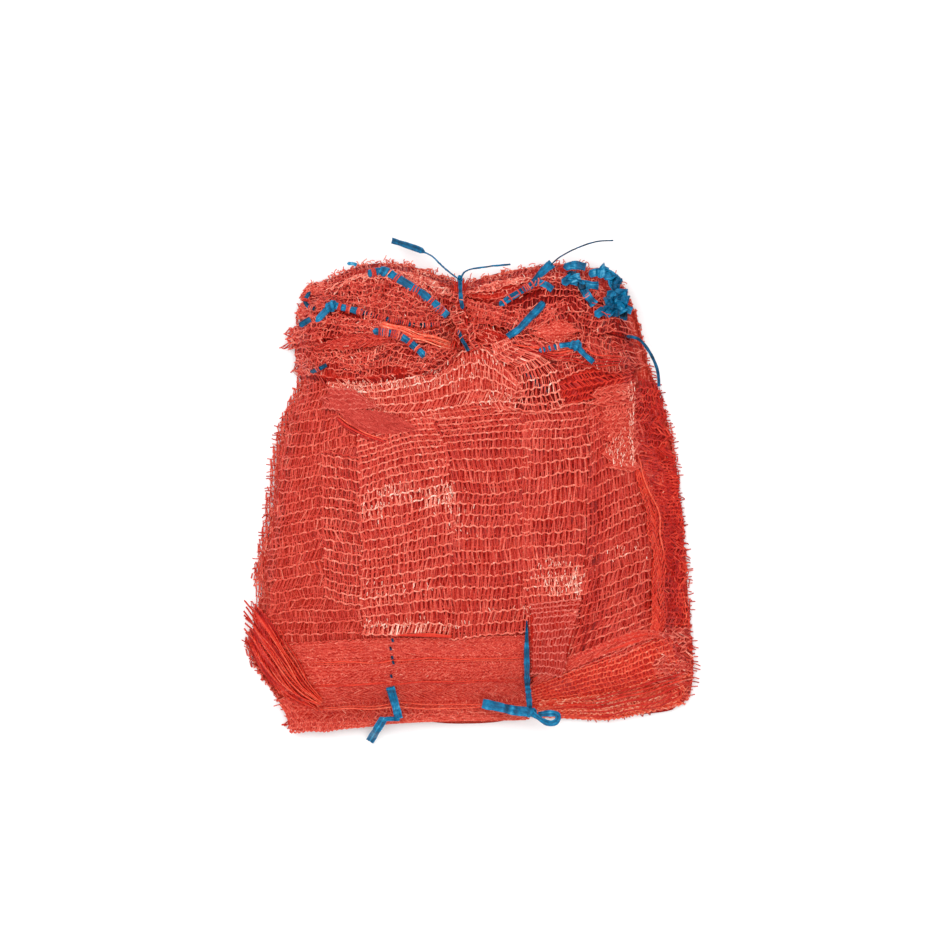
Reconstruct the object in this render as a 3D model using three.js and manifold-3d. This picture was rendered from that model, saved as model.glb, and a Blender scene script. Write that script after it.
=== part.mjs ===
// A tied bundle of empty knitted net sacks, lying flat with its front up.
// Millimetres, +Z up: +X is the bundle's right, +Y the gathered mouths, and z = 0 is the table.
import * as THREE from "three";
import { mergeVertices } from "three/addons/utils/BufferGeometryUtils.js";
import Module from "manifold-3d";

const wasm = await Module();
wasm.setup();
const { smoothstep } = THREE.MathUtils;

// Driving dimensions of the stack
const CROWN = 56; // height over the middle of the stack
const EDGE = 21; // height of the leaves round its rim
const LEAVES = 7; // sack edges that show one above the other round the rim
const LEAF_DEPTH = 4; // how far the gap between two leaves goes in
const RUFFLE = 5; // how far one leaf's edge wanders in and out
const LEAN = { all: 9, right: 13, bottom: 15 }; // how far the top leaf sits back from the lowest
const DOME_POWER = 3.2; // how flat the middle is
const DOME_SHOULDER = 0.75; // how quickly the front rises from the rim

// Driving dimensions of the pieces on the stack
const SKIN = 2; // thickness of the front sack's folded net
const FOLD_GAP = 0.4; // under the front sack's folds
const REST_REACH = 3; // a piece lies on the highest net this near to it
const TAPE_WIDTH = 6;
const TAPE_THICKNESS = 0.6;
const TAPE_LIFT = 1; // of a tape's middle above the net
const TIE_WIDTH = 4; // a tie is drawn tight, so its tape is creased narrower
const TAIL_WIDTH = 2; // of a loose end that is twisted into a thread
const END_STEP = 0.1; // a tape end lies this much above the one it crosses
const KNOT = { long: 4.4, wide: 3.4, high: 2.6 }; // half sizes

// Mesh fineness
const RIM_STEPS = 100; // round the stack
const FRONT_RINGS = 14; // from the rim to the middle of the front
const OUTLINE_SAMPLES = 900;
const TAPE_STEP = 5; // length of tape between two cross sections

// The lowest leaf's outline, anticlockwise from the notch that the neck tie pulls in.
const OUTLINE = [
  [-6, 152], [-28, 162], [-56, 168], [-86, 163], [-110, 150], [-122, 132], [-127, 106],
  [-123, 86], [-132, 63], [-141, 34], [-145, 0], [-151, -38], [-160, -74], [-164, -97],
  [-157, -125], [-141, -146], [-131, -161], [-127, -171], [-89, -169], [-53, -163],
  [-13, -167], [30, -164], [44, -156], [88, -163], [131, -158], [156, -153], [163, -134],
  [161, -99], [159, -56], [154, -9], [150, 31], [141, 67], [131, 94], [126, 117],
  [118, 140], [102, 158], [77, 165], [44, 164], [16, 159],
];

// The neck tie draws the stack together along a groove in its front.
const NECK = { x: -5, depth: 14, halfWidth: 13, fadeFrom: 84, fadeTo: 122 };

// Pleats that spread like a fan from where a tie gathers the net. Angles are in degrees.
const FANS = [
  { x: -5, y: 112, pleats: 10, depth: 4.5, near: 56, reach: 98, from: -200, to: 200, phase: 0.6 },
  { x: 44, y: -148, pleats: 30, depth: 2, near: 40, reach: 130, from: -12, to: 30, phase: 1.1 },
  { x: -99, y: -160, pleats: 24, depth: 3, near: 40, reach: 110, from: 106, to: 170, phase: 0.3 },
];
const FAN_SOFT_EDGE = 12; // degrees over which a fan dies out at its sides

// A repeatable draw from 0 to 1, so that the stack is uneven in the same way each time.
function seededDraw(seed) {
  let state = seed;
  return () => {
    state = (state * 16807) % 2147483647;
    return state / 2147483647;
  };
}

// The outline as a radius at each direction from the origin, read from a closed curve.
const outlinePoints = new THREE.CatmullRomCurve3(
  OUTLINE.map(([x, y]) => new THREE.Vector3(x, y, 0)), true, "centripetal",
).getPoints(OUTLINE_SAMPLES)
  .map((p) => ({ angle: Math.atan2(p.y, p.x), radius: Math.hypot(p.x, p.y) }))
  .sort((a, b) => a.angle - b.angle);

function outlineRadius(angle) {
  const after = outlinePoints.findIndex((p) => p.angle >= angle);
  const b = outlinePoints[after < 0 ? 0 : after];
  const a = outlinePoints.at(after <= 0 ? -1 : after - 1);
  const span = THREE.MathUtils.euclideanModulo(b.angle - a.angle, 2 * Math.PI);
  const share = span ? THREE.MathUtils.euclideanModulo(angle - a.angle, 2 * Math.PI) / span : 0;
  return THREE.MathUtils.lerp(a.radius, b.radius, share);
}

// How far the top leaf sits back from the lowest: most at the right and the bottom.
function leanAt(angle) {
  const right = Math.max(0, Math.cos(angle));
  const bottom = Math.max(0, -Math.sin(angle));
  return LEAN.all + LEAN.right * right ** 2 + LEAN.bottom * bottom ** 2;
}

function fanHeight(fan, x, y) {
  const away = Math.hypot(x - fan.x, y - fan.y);
  const turn = Math.atan2(y - fan.y, x - fan.x);
  const degrees = THREE.MathUtils.radToDeg(turn);
  const sides = smoothstep(degrees, fan.from, fan.from + FAN_SOFT_EDGE)
    * (1 - smoothstep(degrees, fan.to - FAN_SOFT_EDGE, fan.to));
  const along = smoothstep(away, 0, fan.near) * (1 - smoothstep(away, 0.35 * fan.reach, fan.reach));
  return fan.depth * sides * along * Math.cos(fan.pleats * turn + fan.phase);
}

// Height of the stack's front: a flat dome, the slope of the leaves round it, then the table.
function frontHeight(x, y) {
  const angle = Math.atan2(y, x);
  const away = Math.hypot(x, y);
  const rim = outlineRadius(angle);
  const top = rim - leanAt(angle);
  if (away >= top) return EDGE * (1 - smoothstep(away, top, rim));
  const rise = (1 - (away / top) ** DOME_POWER) ** DOME_SHOULDER;
  const groove = NECK.depth * Math.exp(-(((x - NECK.x) / NECK.halfWidth) ** 2))
    * smoothstep(y, NECK.fadeFrom, NECK.fadeTo);
  const relief = FANS.reduce((sum, fan) => sum + fanHeight(fan, x, y), 0) - groove;
  return EDGE + (CROWN - EDGE) * rise + relief * smoothstep(rise, 0, 0.3);
}

// The whole stack: a turned disc whose rim has a ridge for each leaf, fitted to the outline.
function stackGeometry() {
  const draw = seededDraw(20731);
  const leafWaves = Array.from({ length: LEAVES }, () => [
    { waves: 5 + Math.floor(4 * draw()), phase: 2 * Math.PI * draw() },
    { waves: 11 + Math.floor(6 * draw()), phase: 2 * Math.PI * draw() },
  ]);
  const tipRadius = (leaf, angle) => {
    const [slow, quick] = leafWaves[leaf];
    const wander = 0.35 * Math.sin(slow.waves * angle + slow.phase)
      + 0.15 * Math.sin(quick.waves * angle + quick.phase);
    const back = leaf ? RUFFLE * (0.5 + wander) : 0;
    return outlineRadius(angle) - leanAt(angle) * (leaf / (LEAVES - 1)) - back * (1 - leaf / LEAVES);
  };

  // Each level of the profile gives its radius and height at an angle, from underside to middle.
  const levels = [0, 0.55, 0.9].map((share) => ({
    radius: (angle) => share * outlineRadius(angle),
    height: () => 0,
  }));
  for (let leaf = 0; leaf < LEAVES; leaf += 1) {
    levels.push({ radius: (a) => tipRadius(leaf, a), height: () => EDGE * (leaf + 0.35) / LEAVES });
    levels.push({ radius: (a) => tipRadius(leaf, a) - 0.4, height: () => EDGE * (leaf + 0.75) / LEAVES });
    if (leaf === LEAVES - 1) continue;
    levels.push({
      radius: (a) => Math.min(tipRadius(leaf, a), tipRadius(leaf + 1, a)) - LEAF_DEPTH,
      height: () => EDGE * (leaf + 1.05) / LEAVES,
    });
  }
  for (let ring = 1; ring <= FRONT_RINGS; ring += 1) {
    const share = 1 - (ring / FRONT_RINGS) ** 1.15;
    levels.push({
      radius: (angle) => share * (outlineRadius(angle) - leanAt(angle)),
      height: (angle, radius) => frontHeight(radius * Math.cos(angle), radius * Math.sin(angle)),
    });
  }

  const profile = levels.map((level, i) => new THREE.Vector2(i ? 1 : 0, i));
  profile[profile.length - 1].x = 0;
  const disc = new THREE.LatheGeometry(profile, RIM_STEPS).rotateX(Math.PI / 2);
  const at = disc.getAttribute("position");
  for (let i = 0; i < at.count; i += 1) {
    const step = Math.floor(i / levels.length) % RIM_STEPS;
    const turn = (2 * Math.PI * step) / RIM_STEPS;
    const angle = turn > Math.PI ? turn - 2 * Math.PI : turn;
    const level = levels[i % levels.length];
    const radius = level.radius(angle);
    at.setXYZ(i, radius * Math.cos(angle), radius * Math.sin(angle), level.height(angle, radius));
  }
  return disc;
}

const stackShape = stackGeometry();
const stackMesh = new THREE.Mesh(stackShape);
const plumb = new THREE.Raycaster();
const DOWN = new THREE.Vector3(0, 0, -1);

// Height of the finished stack's own facets at a place, or of the table beside it.
function netHeight(x, y) {
  plumb.set(new THREE.Vector3(x, y, 2 * CROWN), DOWN);
  const [hit] = plumb.intersectObject(stackMesh);
  return hit ? hit.point.z : 0;
}

// Height at which a stiff piece comes to rest: that of the highest net about it.
function restHeight(x, y) {
  const around = [[0, 0], [1, 0], [-1, 0], [0, 1], [0, -1]];
  return Math.max(...around.map(([dx, dy]) => netHeight(x + REST_REACH * dx, y + REST_REACH * dy)));
}

// A fold of the front sack: a thin skin over the stack between a left and a right edge.
function foldGeometry({ left, right, across, along }) {
  const edges = [left, right].map((edge) => new THREE.CatmullRomCurve3(
    edge.map(([x, y]) => new THREE.Vector3(x, y, 0)), false, "centripetal",
  ));
  const skin = new THREE.BoxGeometry(1, 1, 1, across, along, 1);
  const at = skin.getAttribute("position");
  for (let i = 0; i < at.count; i += 1) {
    const [a, b] = edges.map((edge) => edge.getPoint(at.getY(i) + 0.5));
    const p = a.lerp(b, at.getX(i) + 0.5);
    at.setXYZ(i, p.x, p.y, restHeight(p.x, p.y) + FOLD_GAP + (at.getZ(i) > 0 ? SKIN : 0));
  }
  return skin;
}

// A point of a tape's route, lifted above the stack, or above the table beside it.
const on = (x, y, lift = 0) => new THREE.Vector3(x, y, restHeight(x, y) + TAPE_LIFT + lift);

// A flat tape along a route. A draped one lies level across on the highest net under its width.
// A loose one keeps to its route, turned about its own length: edgeways is 0 for flat, 1 for on edge.
function tapeGeometry(route, { width = TAPE_WIDTH, draped = false, lift = 0, edgeways = 0 } = {}) {
  const curve = new THREE.CatmullRomCurve3(route, false, "centripetal");
  const steps = Math.max(2, Math.round(curve.getLength() / TAPE_STEP));
  const strip = new THREE.BoxGeometry(1, 1, 1, steps, 1, 1);
  const up = new THREE.Vector3(0, 0, 1);
  const at = strip.getAttribute("position");
  for (let i = 0; i < at.count; i += 1) {
    const share = at.getX(i) + 0.5;
    const p = curve.getPointAt(share);
    const ahead = curve.getTangentAt(share);
    const side = up.clone().cross(ahead).normalize().applyAxisAngle(ahead, (edgeways * Math.PI) / 2);
    const face = draped ? up : ahead.clone().cross(side);
    if (draped) {
      const under = [-0.5, 0, 0.5].map((edge) => p.clone().addScaledVector(side, width * edge));
      p.z = Math.max(...under.map((q) => on(q.x, q.y, lift).z));
    }
    p.addScaledVector(side, width * at.getY(i)).addScaledVector(face, TAPE_THICKNESS * at.getZ(i));
    at.setXYZ(i, p.x, p.y, p.z);
  }
  return strip;
}

function knotGeometry(centre, turn = 0) {
  return new THREE.SphereGeometry(1, 9, 6).scale(KNOT.long, KNOT.wide, KNOT.high).rotateZ(turn)
    .translate(centre.x, centre.y, centre.z);
}

function solidOf(geometry) {
  const bare = new THREE.BufferGeometry().setIndex(geometry.index)
    .setAttribute("position", geometry.getAttribute("position"));
  const merged = mergeVertices(bare, 1e-4);
  return new wasm.Manifold(new wasm.Mesh({
    numProp: 3,
    vertProperties: new Float32Array(merged.getAttribute("position").array),
    triVerts: new Uint32Array(merged.index.array),
  }));
}

// Joins the pieces of one tape into one closed body, without the pockets that crossings seal off.
function joined(...geometries) {
  const shells = geometries.map(solidOf).reduce((sum, solid) => sum.add(solid)).decompose();
  const mesh = shells.sort((a, b) => b.volume() - a.volume())[0].getMesh();
  return new THREE.BufferGeometry()
    .setAttribute("position", new THREE.BufferAttribute(new Float32Array(mesh.vertProperties), 3))
    .setIndex(new THREE.BufferAttribute(new Uint32Array(mesh.triVerts), 1));
}

const net = new THREE.MeshStandardMaterial({ color: 0xd8392f, roughness: 0.55, metalness: 0 });
const frontNet = new THREE.MeshStandardMaterial({ color: 0xe24b3e, roughness: 0.5, metalness: 0 });
const tape = new THREE.MeshStandardMaterial({ color: 0x0f74b5, roughness: 0.35, metalness: 0 });

const bundle = new THREE.Group();
function add(name, geometry, material) {
  const mesh = new THREE.Mesh(geometry, material);
  mesh.name = name;
  bundle.add(mesh);
}

add("sack_stack", stackShape, net);

// The front sack, folded lengthwise: its folds lie side by side, each edge listed from below.
add("front_fold_left", foldGeometry({
  left: [[-77, -100], [-77, 0], [-77, 58]],
  right: [[-12.5, -104], [-13, -20], [-22, 40]], across: 8, along: 14,
}), frontNet);
add("front_fold_middle", foldGeometry({
  left: [[-11, -104], [-11, -20], [-20, 42]],
  right: [[37, -98], [37, 0], [37, 64]], across: 6, along: 14,
}), frontNet);
add("front_fold_corner", foldGeometry({
  left: [[46, -128], [46, -60], [38.5, -30], [38.5, 64]],
  right: [[67, -132], [80, -90], [84, -40], [84, 66]], across: 6, along: 18,
}), frontNet);
add("front_fold_right", foldGeometry({
  left: [[72, -138], [84, -96], [86, -40], [86, 70]],
  right: [[124, -112], [136, -70], [133, -20], [119, 74]], across: 6, along: 18,
}), frontNet);

// The neck tie: down the groove in front, over the top edge to a knot with two loose ends.
const neckKnot = on(-6, 145, 3);
add("neck_tie", joined(
  tapeGeometry([on(-2.5, 101), on(-4.5, 113), on(-5.5, 134), on(-6, 145)],
    { width: TIE_WIDTH, draped: true, lift: 0.6 }),
  tapeGeometry([
    neckKnot, on(-13, 154, 6), on(-23, 166, 18), on(-30, 172, 16), on(-46, 178, 12), on(-55, 181, 9),
  ], { width: TIE_WIDTH }),
  tapeGeometry([neckKnot, on(3, 156, 6), on(16, 165, 18), on(30, 168, 18)],
    { width: TIE_WIDTH, edgeways: 0.7 }),
  knotGeometry(neckKnot, Math.PI / 2),
), tape);

// The two bottom ties come through the net near the lower edge and are knotted over it.
const leftKnot = on(-52, -165, 3);
add("bottom_tie_left", joined(
  tapeGeometry([on(-55, -107), on(-55, -124), on(-56, -142), on(-52, -153)], { draped: true }),
  tapeGeometry([on(-52, -153), on(-50, -159, 2), leftKnot]),
  tapeGeometry([leftKnot, on(-61, -167, 3), on(-66, -175, 1), on(-71, -182, 0)]),
  knotGeometry(leftKnot),
), tape);
const rightKnot = on(44, -157, 3);
add("bottom_tie_right", joined(
  tapeGeometry([on(41.5, -91), on(41.5, -113), on(42, -135)], { width: TIE_WIDTH, draped: true }),
  tapeGeometry([on(42, -133), on(43, -144, 2), on(43.5, -151, 3), rightKnot], { width: TIE_WIDTH }),
  tapeGeometry([rightKnot, on(33, -156, 3), on(22, -153.5, 2), on(10, -151, 1.5)]),
  tapeGeometry([
    rightKnot, on(52, -162, 4), on(60, -167, 4), on(66, -165, 4), on(66, -159, 4), on(58, -157, 3), rightKnot,
  ], { width: TIE_WIDTH, edgeways: 0.85 }),
  knotGeometry(rightKnot),
), tape);

// Each sack's draw tape runs through the net round its mouth. These are the stretches that show.
const DRAW_TAPES = {
  draw_tape_ear_top: {
    route: [[-72, 156], [-60, 158], [-52, 154], [-31, 140], [-15, 126]],
    knot: [-60, 158],
  },
  draw_tape_ear_front: {
    route: [[-109, 122], [-98, 133], [-87, 131.5], [-77, 129], [-60, 124], [-38, 119.5], [-20, 120]],
    knot: [-98, 133],
  },
  draw_tape_ear_edge: { route: [[-113, 144], [-117, 138], [-115, 133.5], [-110, 131.5]] },
  draw_tape_ear_low: { route: [[-68, 115], [-55, 113.5], [-46, 110], [-38, 104], [-31, 97]] },
  draw_tape_cheek: { route: [[-113, 86], [-107, 88], [-101, 91]] },
  draw_tape_right_tail: { route: [[54, 136], [49, 130], [43, 124], [36, 116.5], [28, 111]] },
  draw_tape_right_knot: {
    route: [[50, 101], [59, 103], [68, 105], [76, 105], [82, 99], [89, 93]],
    knot: [76, 105],
  },
  draw_tape_right_edge: {
    route: [[113, 112], [122, 110], [129, 102], [134, 92], [136, 84], [136.5, 76]],
    width: TIE_WIDTH,
  },
};
for (const [name, { route, knot, width }] of Object.entries(DRAW_TAPES)) {
  const strip = tapeGeometry(route.map(([x, y]) => on(x, y)), { width, draped: true });
  add(name, joined(...(knot ? [strip, knotGeometry(on(...knot, 2))] : [strip])), tape);
}

// Two draw tapes cross to the right of the neck. The upper one ends in a thin twisted tail.
const tailStart = on(59, 163);
add("draw_tape_right_cross", joined(
  tapeGeometry([on(22, 133.5), on(33, 141), on(43, 147), on(49, 150), on(55, 148.5), on(60, 145)],
    { draped: true }),
  tapeGeometry([on(60, 164), on(55, 160), on(48, 153), on(39, 144)], { draped: true, lift: END_STEP }),
  tapeGeometry([tailStart, on(66, 169, 9), on(77, 175, 12), on(91, 180, 11), on(104, 181, 9)],
    { width: TAIL_WIDTH }),
), tape);

// The right corner's tape ends: creased strips of many draw tapes, fused where they cross.
const TAPE_ENDS = {
  tape_end_top: [[[68, 161], [76, 163], [84, 161.5]]],
  tape_end_middle: [
    [[67, 149], [72, 153], [76, 155.5]],
    [[71, 153], [82, 149], [93, 148]],
    [[80, 151], [84, 142], [90, 134]],
  ],
  tape_end_arch: [[[86, 156], [93, 158], [101, 156.5], [108.5, 150]]],
  tape_end_corner: [
    [[99, 141], [106, 143], [114, 143]],
    [[90, 126], [99, 131], [108, 128]],
    [[104, 144], [103, 136], [105, 126]],
    [[104, 132], [111, 132], [117, 130]],
  ],
};
for (const [name, strips] of Object.entries(TAPE_ENDS)) {
  add(name, joined(...strips.map((route, i) => (
    tapeGeometry(route.map(([x, y]) => on(x, y)), { draped: true, lift: END_STEP * i })
  ))), tape);
}

export default bundle;
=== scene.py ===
"""A tied bundle of empty knitted net sacks, dressed over its solids. Shapes are worked out in mm."""
import math

import bpy
import numpy as np
from mathutils.bvhtree import BVHTree
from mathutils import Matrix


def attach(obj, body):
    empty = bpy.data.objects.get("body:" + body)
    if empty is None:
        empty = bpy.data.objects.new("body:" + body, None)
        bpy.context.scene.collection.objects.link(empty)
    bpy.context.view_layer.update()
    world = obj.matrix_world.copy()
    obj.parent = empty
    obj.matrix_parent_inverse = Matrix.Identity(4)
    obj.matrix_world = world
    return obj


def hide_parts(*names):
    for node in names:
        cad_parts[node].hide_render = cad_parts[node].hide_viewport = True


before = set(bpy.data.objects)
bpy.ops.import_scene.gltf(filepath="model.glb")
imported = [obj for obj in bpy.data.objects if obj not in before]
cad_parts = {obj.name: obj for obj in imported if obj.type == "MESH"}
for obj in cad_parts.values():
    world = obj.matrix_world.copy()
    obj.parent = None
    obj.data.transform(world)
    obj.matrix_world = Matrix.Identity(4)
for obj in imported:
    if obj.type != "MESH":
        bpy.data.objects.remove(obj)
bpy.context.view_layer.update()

MM = 0.001
TURN = 2 * np.pi
SEED = 20731
draw = np.random.default_rng(SEED)

# The knit
ROW_PITCH = 7.4  # from one chain of loops to the next
RUNG_PITCH = 3.15  # from one group of cross threads to the next
ROW_WIDTH = 1.1
ROW_THICK = 0.6
ROW_WAVE = 0.5  # how far a chain swings to each side
ROW_SHIFT = 0.4  # how far all chains start to either side, in pitches
ROW_SPREAD = (0.75, 1.25)  # a chain's sizes, as shares of the usual one
SWAY_LENGTHS = (40, 50)  # of the slow waves that bend chains, along and across
LOOP_SCATTER = (0.2, 0.12, 0.12)  # how far loops stray along, across and up
CRUMPLE_LENGTHS = (14, 20)  # of the waves that crumple a net, up and along
CRUMPLE_ALONG = 0.8  # how far it goes along, as a share of up
THREAD_WIDTH = 0.65
THREAD_THICK = 0.25
THREAD_SPREAD = (0.7, 1.4)
THREAD_FAN = (1.0, 0.15)  # how far threads part at the lower and at the upper chain, as a share of even
THREAD_SCATTER = 0.16  # how far their ends stray, as a share of half a pitch
THREAD_LEAN = 0.4  # how far their heads lean in slow waves, as a share of half a pitch
LEAN_LENGTH = 60  # of those waves
THREAD_TILT = 0.4  # how far they turn about their own length, as an angle
THREAD_SINK = 0.12  # how far they lie below the middle of the chains
CHAIN_MOTTLE = 0.07  # how far tones stray from loop to loop
END_MOTTLE = 0.05  # and from one end of a thread to the other
PAINTED_LIGHT_GAIN = 0.65  # how much paler painted light makes a thread at most, and painted shade darker
NET_LOWEST = 1.2  # no net lies lower than this
NET_RISE = 0.3  # of the lowest net over its film
LAYER_STEP = 0.5  # from one net to the next above it
LAYER_DROP = 0.33  # and how far their chains are out of step, as a share of a row
FILM_THICK = 0.5
FILM_MARGIN = 0.01  # how far a film ends before the net's first and last row, as a share of its height

# The stack of sacks, as in its solid
EDGE = 21
LEAVES = 7
RIM_STEPS = 100
MEAN_RADIUS = 155
FRINGE = {"left": 6.5, "right": 2.5, "foot": 0.8}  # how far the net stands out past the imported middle
NOTCH_DEPTH = 9  # of the drawn-in place at the left fan
NOTCH_TURN = 3.63  # its direction from the middle of the bundle
NOTCH_REACH = 0.085  # and how far it goes to each side of that, as an angle
FRONT_NOTCH = 1.3  # its depth in the front sacks, as a share of the usual one
FOOT_FADE = (3, 1.4)  # how fast the fringe gives way to the folded foot, and from where

# The tape
TAPE_WIDTH = 6
TIE_WIDTH = 4
TAIL_WIDTH = 2
TAPE_THICK = 0.3


# Heights and outlines read from the frame

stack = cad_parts["sack_stack"].data
corners = np.empty(3 * len(stack.vertices))
stack.vertices.foreach_get("co", corners)
corners = corners.reshape(-1, 3) / MM
GRID = 3.0
GRID_REACH = (186, 195)
GRID_X, GRID_Y = (np.arange(-reach, reach + 1, GRID) for reach in GRID_REACH)
PLUMB_TOP = 200  # where the plumb lines start
FRONT_BLUR = 2  # how many times the front's heights are blurred
GROUND_GIVE = 1.5  # how far blurring may lower what is laid
SHORT_OF_END = 1.001  # keeps a place on a grid or chain just short of its last point


def plumb_heights():
    """Height of the stack under each point of a square grid, read by plumb lines and blurred."""
    tree = BVHTree.FromPolygons(corners.tolist(), [tuple(p.vertices) for p in stack.polygons])
    hits = [[tree.ray_cast((x, y, PLUMB_TOP), (0, 0, -1))[0] for x in GRID_X] for y in GRID_Y]
    return blurred(np.array([[hit.z if hit else 0.0 for hit in line] for line in hits]), FRONT_BLUR)


def blurred(heights, times):
    """Each height becomes the mean of itself and its neighbours, weighted 1, 2, 1 both ways."""
    for _ in range(times):
        for axis in (0, 1):
            heights = (np.roll(heights, 1, axis) + 2 * heights + np.roll(heights, -1, axis)) / 4
    return heights


def height_at(heights, x, y):
    """Height over (x, y): the four nearest grid points, weighted by nearness."""
    column = np.clip((x - GRID_X[0]) / GRID, 0, len(GRID_X) - SHORT_OF_END)
    line = np.clip((y - GRID_Y[0]) / GRID, 0, len(GRID_Y) - SHORT_OF_END)
    i, j = column.astype(int), line.astype(int)
    u, v = column - i, line - j
    low = heights[j, i] * (1 - u) + heights[j, i + 1] * u
    high = heights[j + 1, i] * (1 - u) + heights[j + 1, i + 1] * u
    return low * (1 - v) + high * v


def leaf_radii():
    """The reach of each sack's edge in each direction: the solid's widest corner near its height."""
    turn = np.arctan2(corners[:, 1], corners[:, 0])
    step = np.round(turn / TURN * RIM_STEPS).astype(int) % RIM_STEPS
    leaf = np.clip(corners[:, 2] * LEAVES / EDGE, 0, LEAVES - 1).astype(int)
    radii = np.zeros((LEAVES, RIM_STEPS))
    np.maximum.at(radii, (leaf, step), np.hypot(corners[:, 0], corners[:, 1]))
    return radii


RADII = leaf_radii()
RIM_TURNS = np.arange(RIM_STEPS) * TURN / RIM_STEPS
FRONT = plumb_heights()
LAID = []  # the points of all that is laid so far, for what lies on top


def leaf_radius(leaf, turn):
    """A sack edge's reach at an angle, straight between the angles that the solid has."""
    return np.interp(turn, RIM_TURNS, RADII[leaf], period=TURN)


def rim_radius(turn):
    """The reach of the widest sack at an angle."""
    return np.interp(turn, RIM_TURNS, RADII.max(0), period=TURN)


def front(x, y):
    """Height of the solid's front over (x, y)."""
    return height_at(FRONT, x, y)


def ground_now():
    """Height of all that is laid so far, on the square grid."""
    ground = FRONT.copy()
    spots = np.concatenate(LAID)
    line = np.clip(np.round((spots[:, 1] - GRID_Y[0]) / GRID).astype(int), 0, len(GRID_Y) - 1)
    column = np.clip(np.round((spots[:, 0] - GRID_X[0]) / GRID).astype(int), 0, len(GRID_X) - 1)
    np.maximum.at(ground, (line, column), spots[:, 2])
    return np.maximum(blurred(ground, 1), ground - GROUND_GIVE)


def polar(x, y):
    """Distance and direction of (x, y) from the middle of the bundle."""
    return np.hypot(x, y), np.arctan2(y, x)


def fringe(turn):
    """How far the see-through edge reaches in: most on the left, least along the folded foot."""
    side = FRINGE["right"] + (FRINGE["left"] - FRINGE["right"]) * np.maximum(0, -np.cos(turn))
    foot = np.clip(-FOOT_FADE[0] * np.sin(turn) - FOOT_FADE[1], 0, 1)
    return side + foot * (FRINGE["foot"] - side)


def notch(turn):
    """How far the net is drawn in at the left fan, where only the ends of its folds reach the outline."""
    return NOTCH_DEPTH * np.exp(-(((turn % TURN) - NOTCH_TURN) / NOTCH_REACH) ** 4)


def on_front(x, y, reach=2.5):
    """Whether a point lies on the top sack, or within reach of its edge."""
    r, turn = polar(x, y)
    return r < leaf_radius(LEAVES - 1, turn) - FRONT_NOTCH * notch(turn) + reach


def near_front(x, y):
    """Whether a point lies on the top sack, or hardly past its edge."""
    return on_front(x, y, 0.8)


def on_stack(x, y):
    """Whether a point lies on the stack, just inside its widest sack."""
    r, turn = polar(x, y)
    return r < rim_radius(turn) - 0.5


# Curves and sheets through given points

WAVES = 6
WAVE_SPREAD = (0.6, 1.5)  # their lengths, as shares of the one asked for


def weights(share):
    """Weights of four points in a row for a smooth curve from the second (0) to the third (1)."""
    t = share[..., None]
    return 0.5 * np.concatenate([
        -t + 2 * t**2 - t**3, 2 - 5 * t**2 + 3 * t**3, t + 4 * t**2 - 3 * t**3, t**3 - t**2,
    ], -1)


def carried_on(points):
    """The points with one more at each end, carried straight on."""
    return np.concatenate([[2 * points[0] - points[1]], points, [2 * points[-1] - points[-2]]])


def spot(share, count):
    """The first of the two points that a share lies between, and how far it is to the next."""
    place = share * (count - 1)
    first = np.clip(np.floor(place).astype(int), 0, count - 2)
    return first, place - first


def curve_through(points, share):
    """A smooth curve through points: the share runs from 0 at the first to 1 at the last."""
    points = np.asarray(points, float)
    first, rest = spot(share, len(points))
    padded, by = carried_on(points), weights(rest)
    return sum(by[..., i, None] * padded[first + i] for i in range(4))


def sheet_through(grid, s, t):
    """The same curve both ways over a grid of points: s along its lines, t from the first to the last."""
    i, along = spot(s, grid.shape[1])
    j, across = spot(t, grid.shape[0])
    padded = np.stack([carried_on(line) for line in carried_on(grid)])
    by_s, by_t = weights(along), weights(across)
    return sum(
        by_t[..., b, None] * by_s[..., a, None] * padded[j + b, i + a]
        for b in range(4) for a in range(4)
    )


def uneven(length):
    """Makes slow unevenness of about 1: sine waves of random direction and like length, added up."""
    turn, phase = draw.uniform(0, TURN, (2, WAVES))
    stretch = length * draw.uniform(*WAVE_SPREAD, WAVES)

    def at(s, t):
        way = s[..., None] * np.cos(turn) + t[..., None] * np.sin(turn)
        return np.sin(TURN * way / stretch + phase).sum(-1) / math.sqrt(WAVES)
    return at


def uneven_along(length, far):
    """Slow unevenness along one line, at each distance from its start."""
    return uneven(length)(far, 0 * far)


def unit(v):
    """Directions scaled to a length of 1."""
    return v / np.maximum(np.linalg.norm(v, axis=-1, keepdims=True), 1e-9)


# Materials

PLASTIC_IOR = 1.5
FLECK_RANGE = (0.25, 0.75)  # of the noise that most points have
WEAVE_PATCH = 9  # mm, of the places where a woven pattern is shifted
WEAVE_SHIFT = (5.0, 4.0, 0.0)  # mm, how far it is shifted along and across
WEAVE_LINE = 0.75  # mm, half of a chain's or thread's width in it
WEAVE_SOFT = 0.7


def linear(code):
    """An sRGB hex colour as linear red, green, blue and alpha."""
    parts = [int(code[i:i + 2], 16) / 255 for i in (1, 3, 5)]
    return [p / 12.92 if p <= 0.04045 else ((p + 0.055) / 1.055) ** 2.4 for p in parts] + [1]


def node(tree, kind, inputs, **settings):
    """Adds a shader node: settings are its own values, inputs are numbers or the sockets to link."""
    made = tree.nodes.new(kind)
    for name, value in settings.items():
        setattr(made, name, value)
    for name, value in inputs.items():
        if isinstance(value, bpy.types.NodeSocket):
            tree.links.new(value, made.inputs[name])
        else:
            made.inputs[name].default_value = value
    return made


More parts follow.
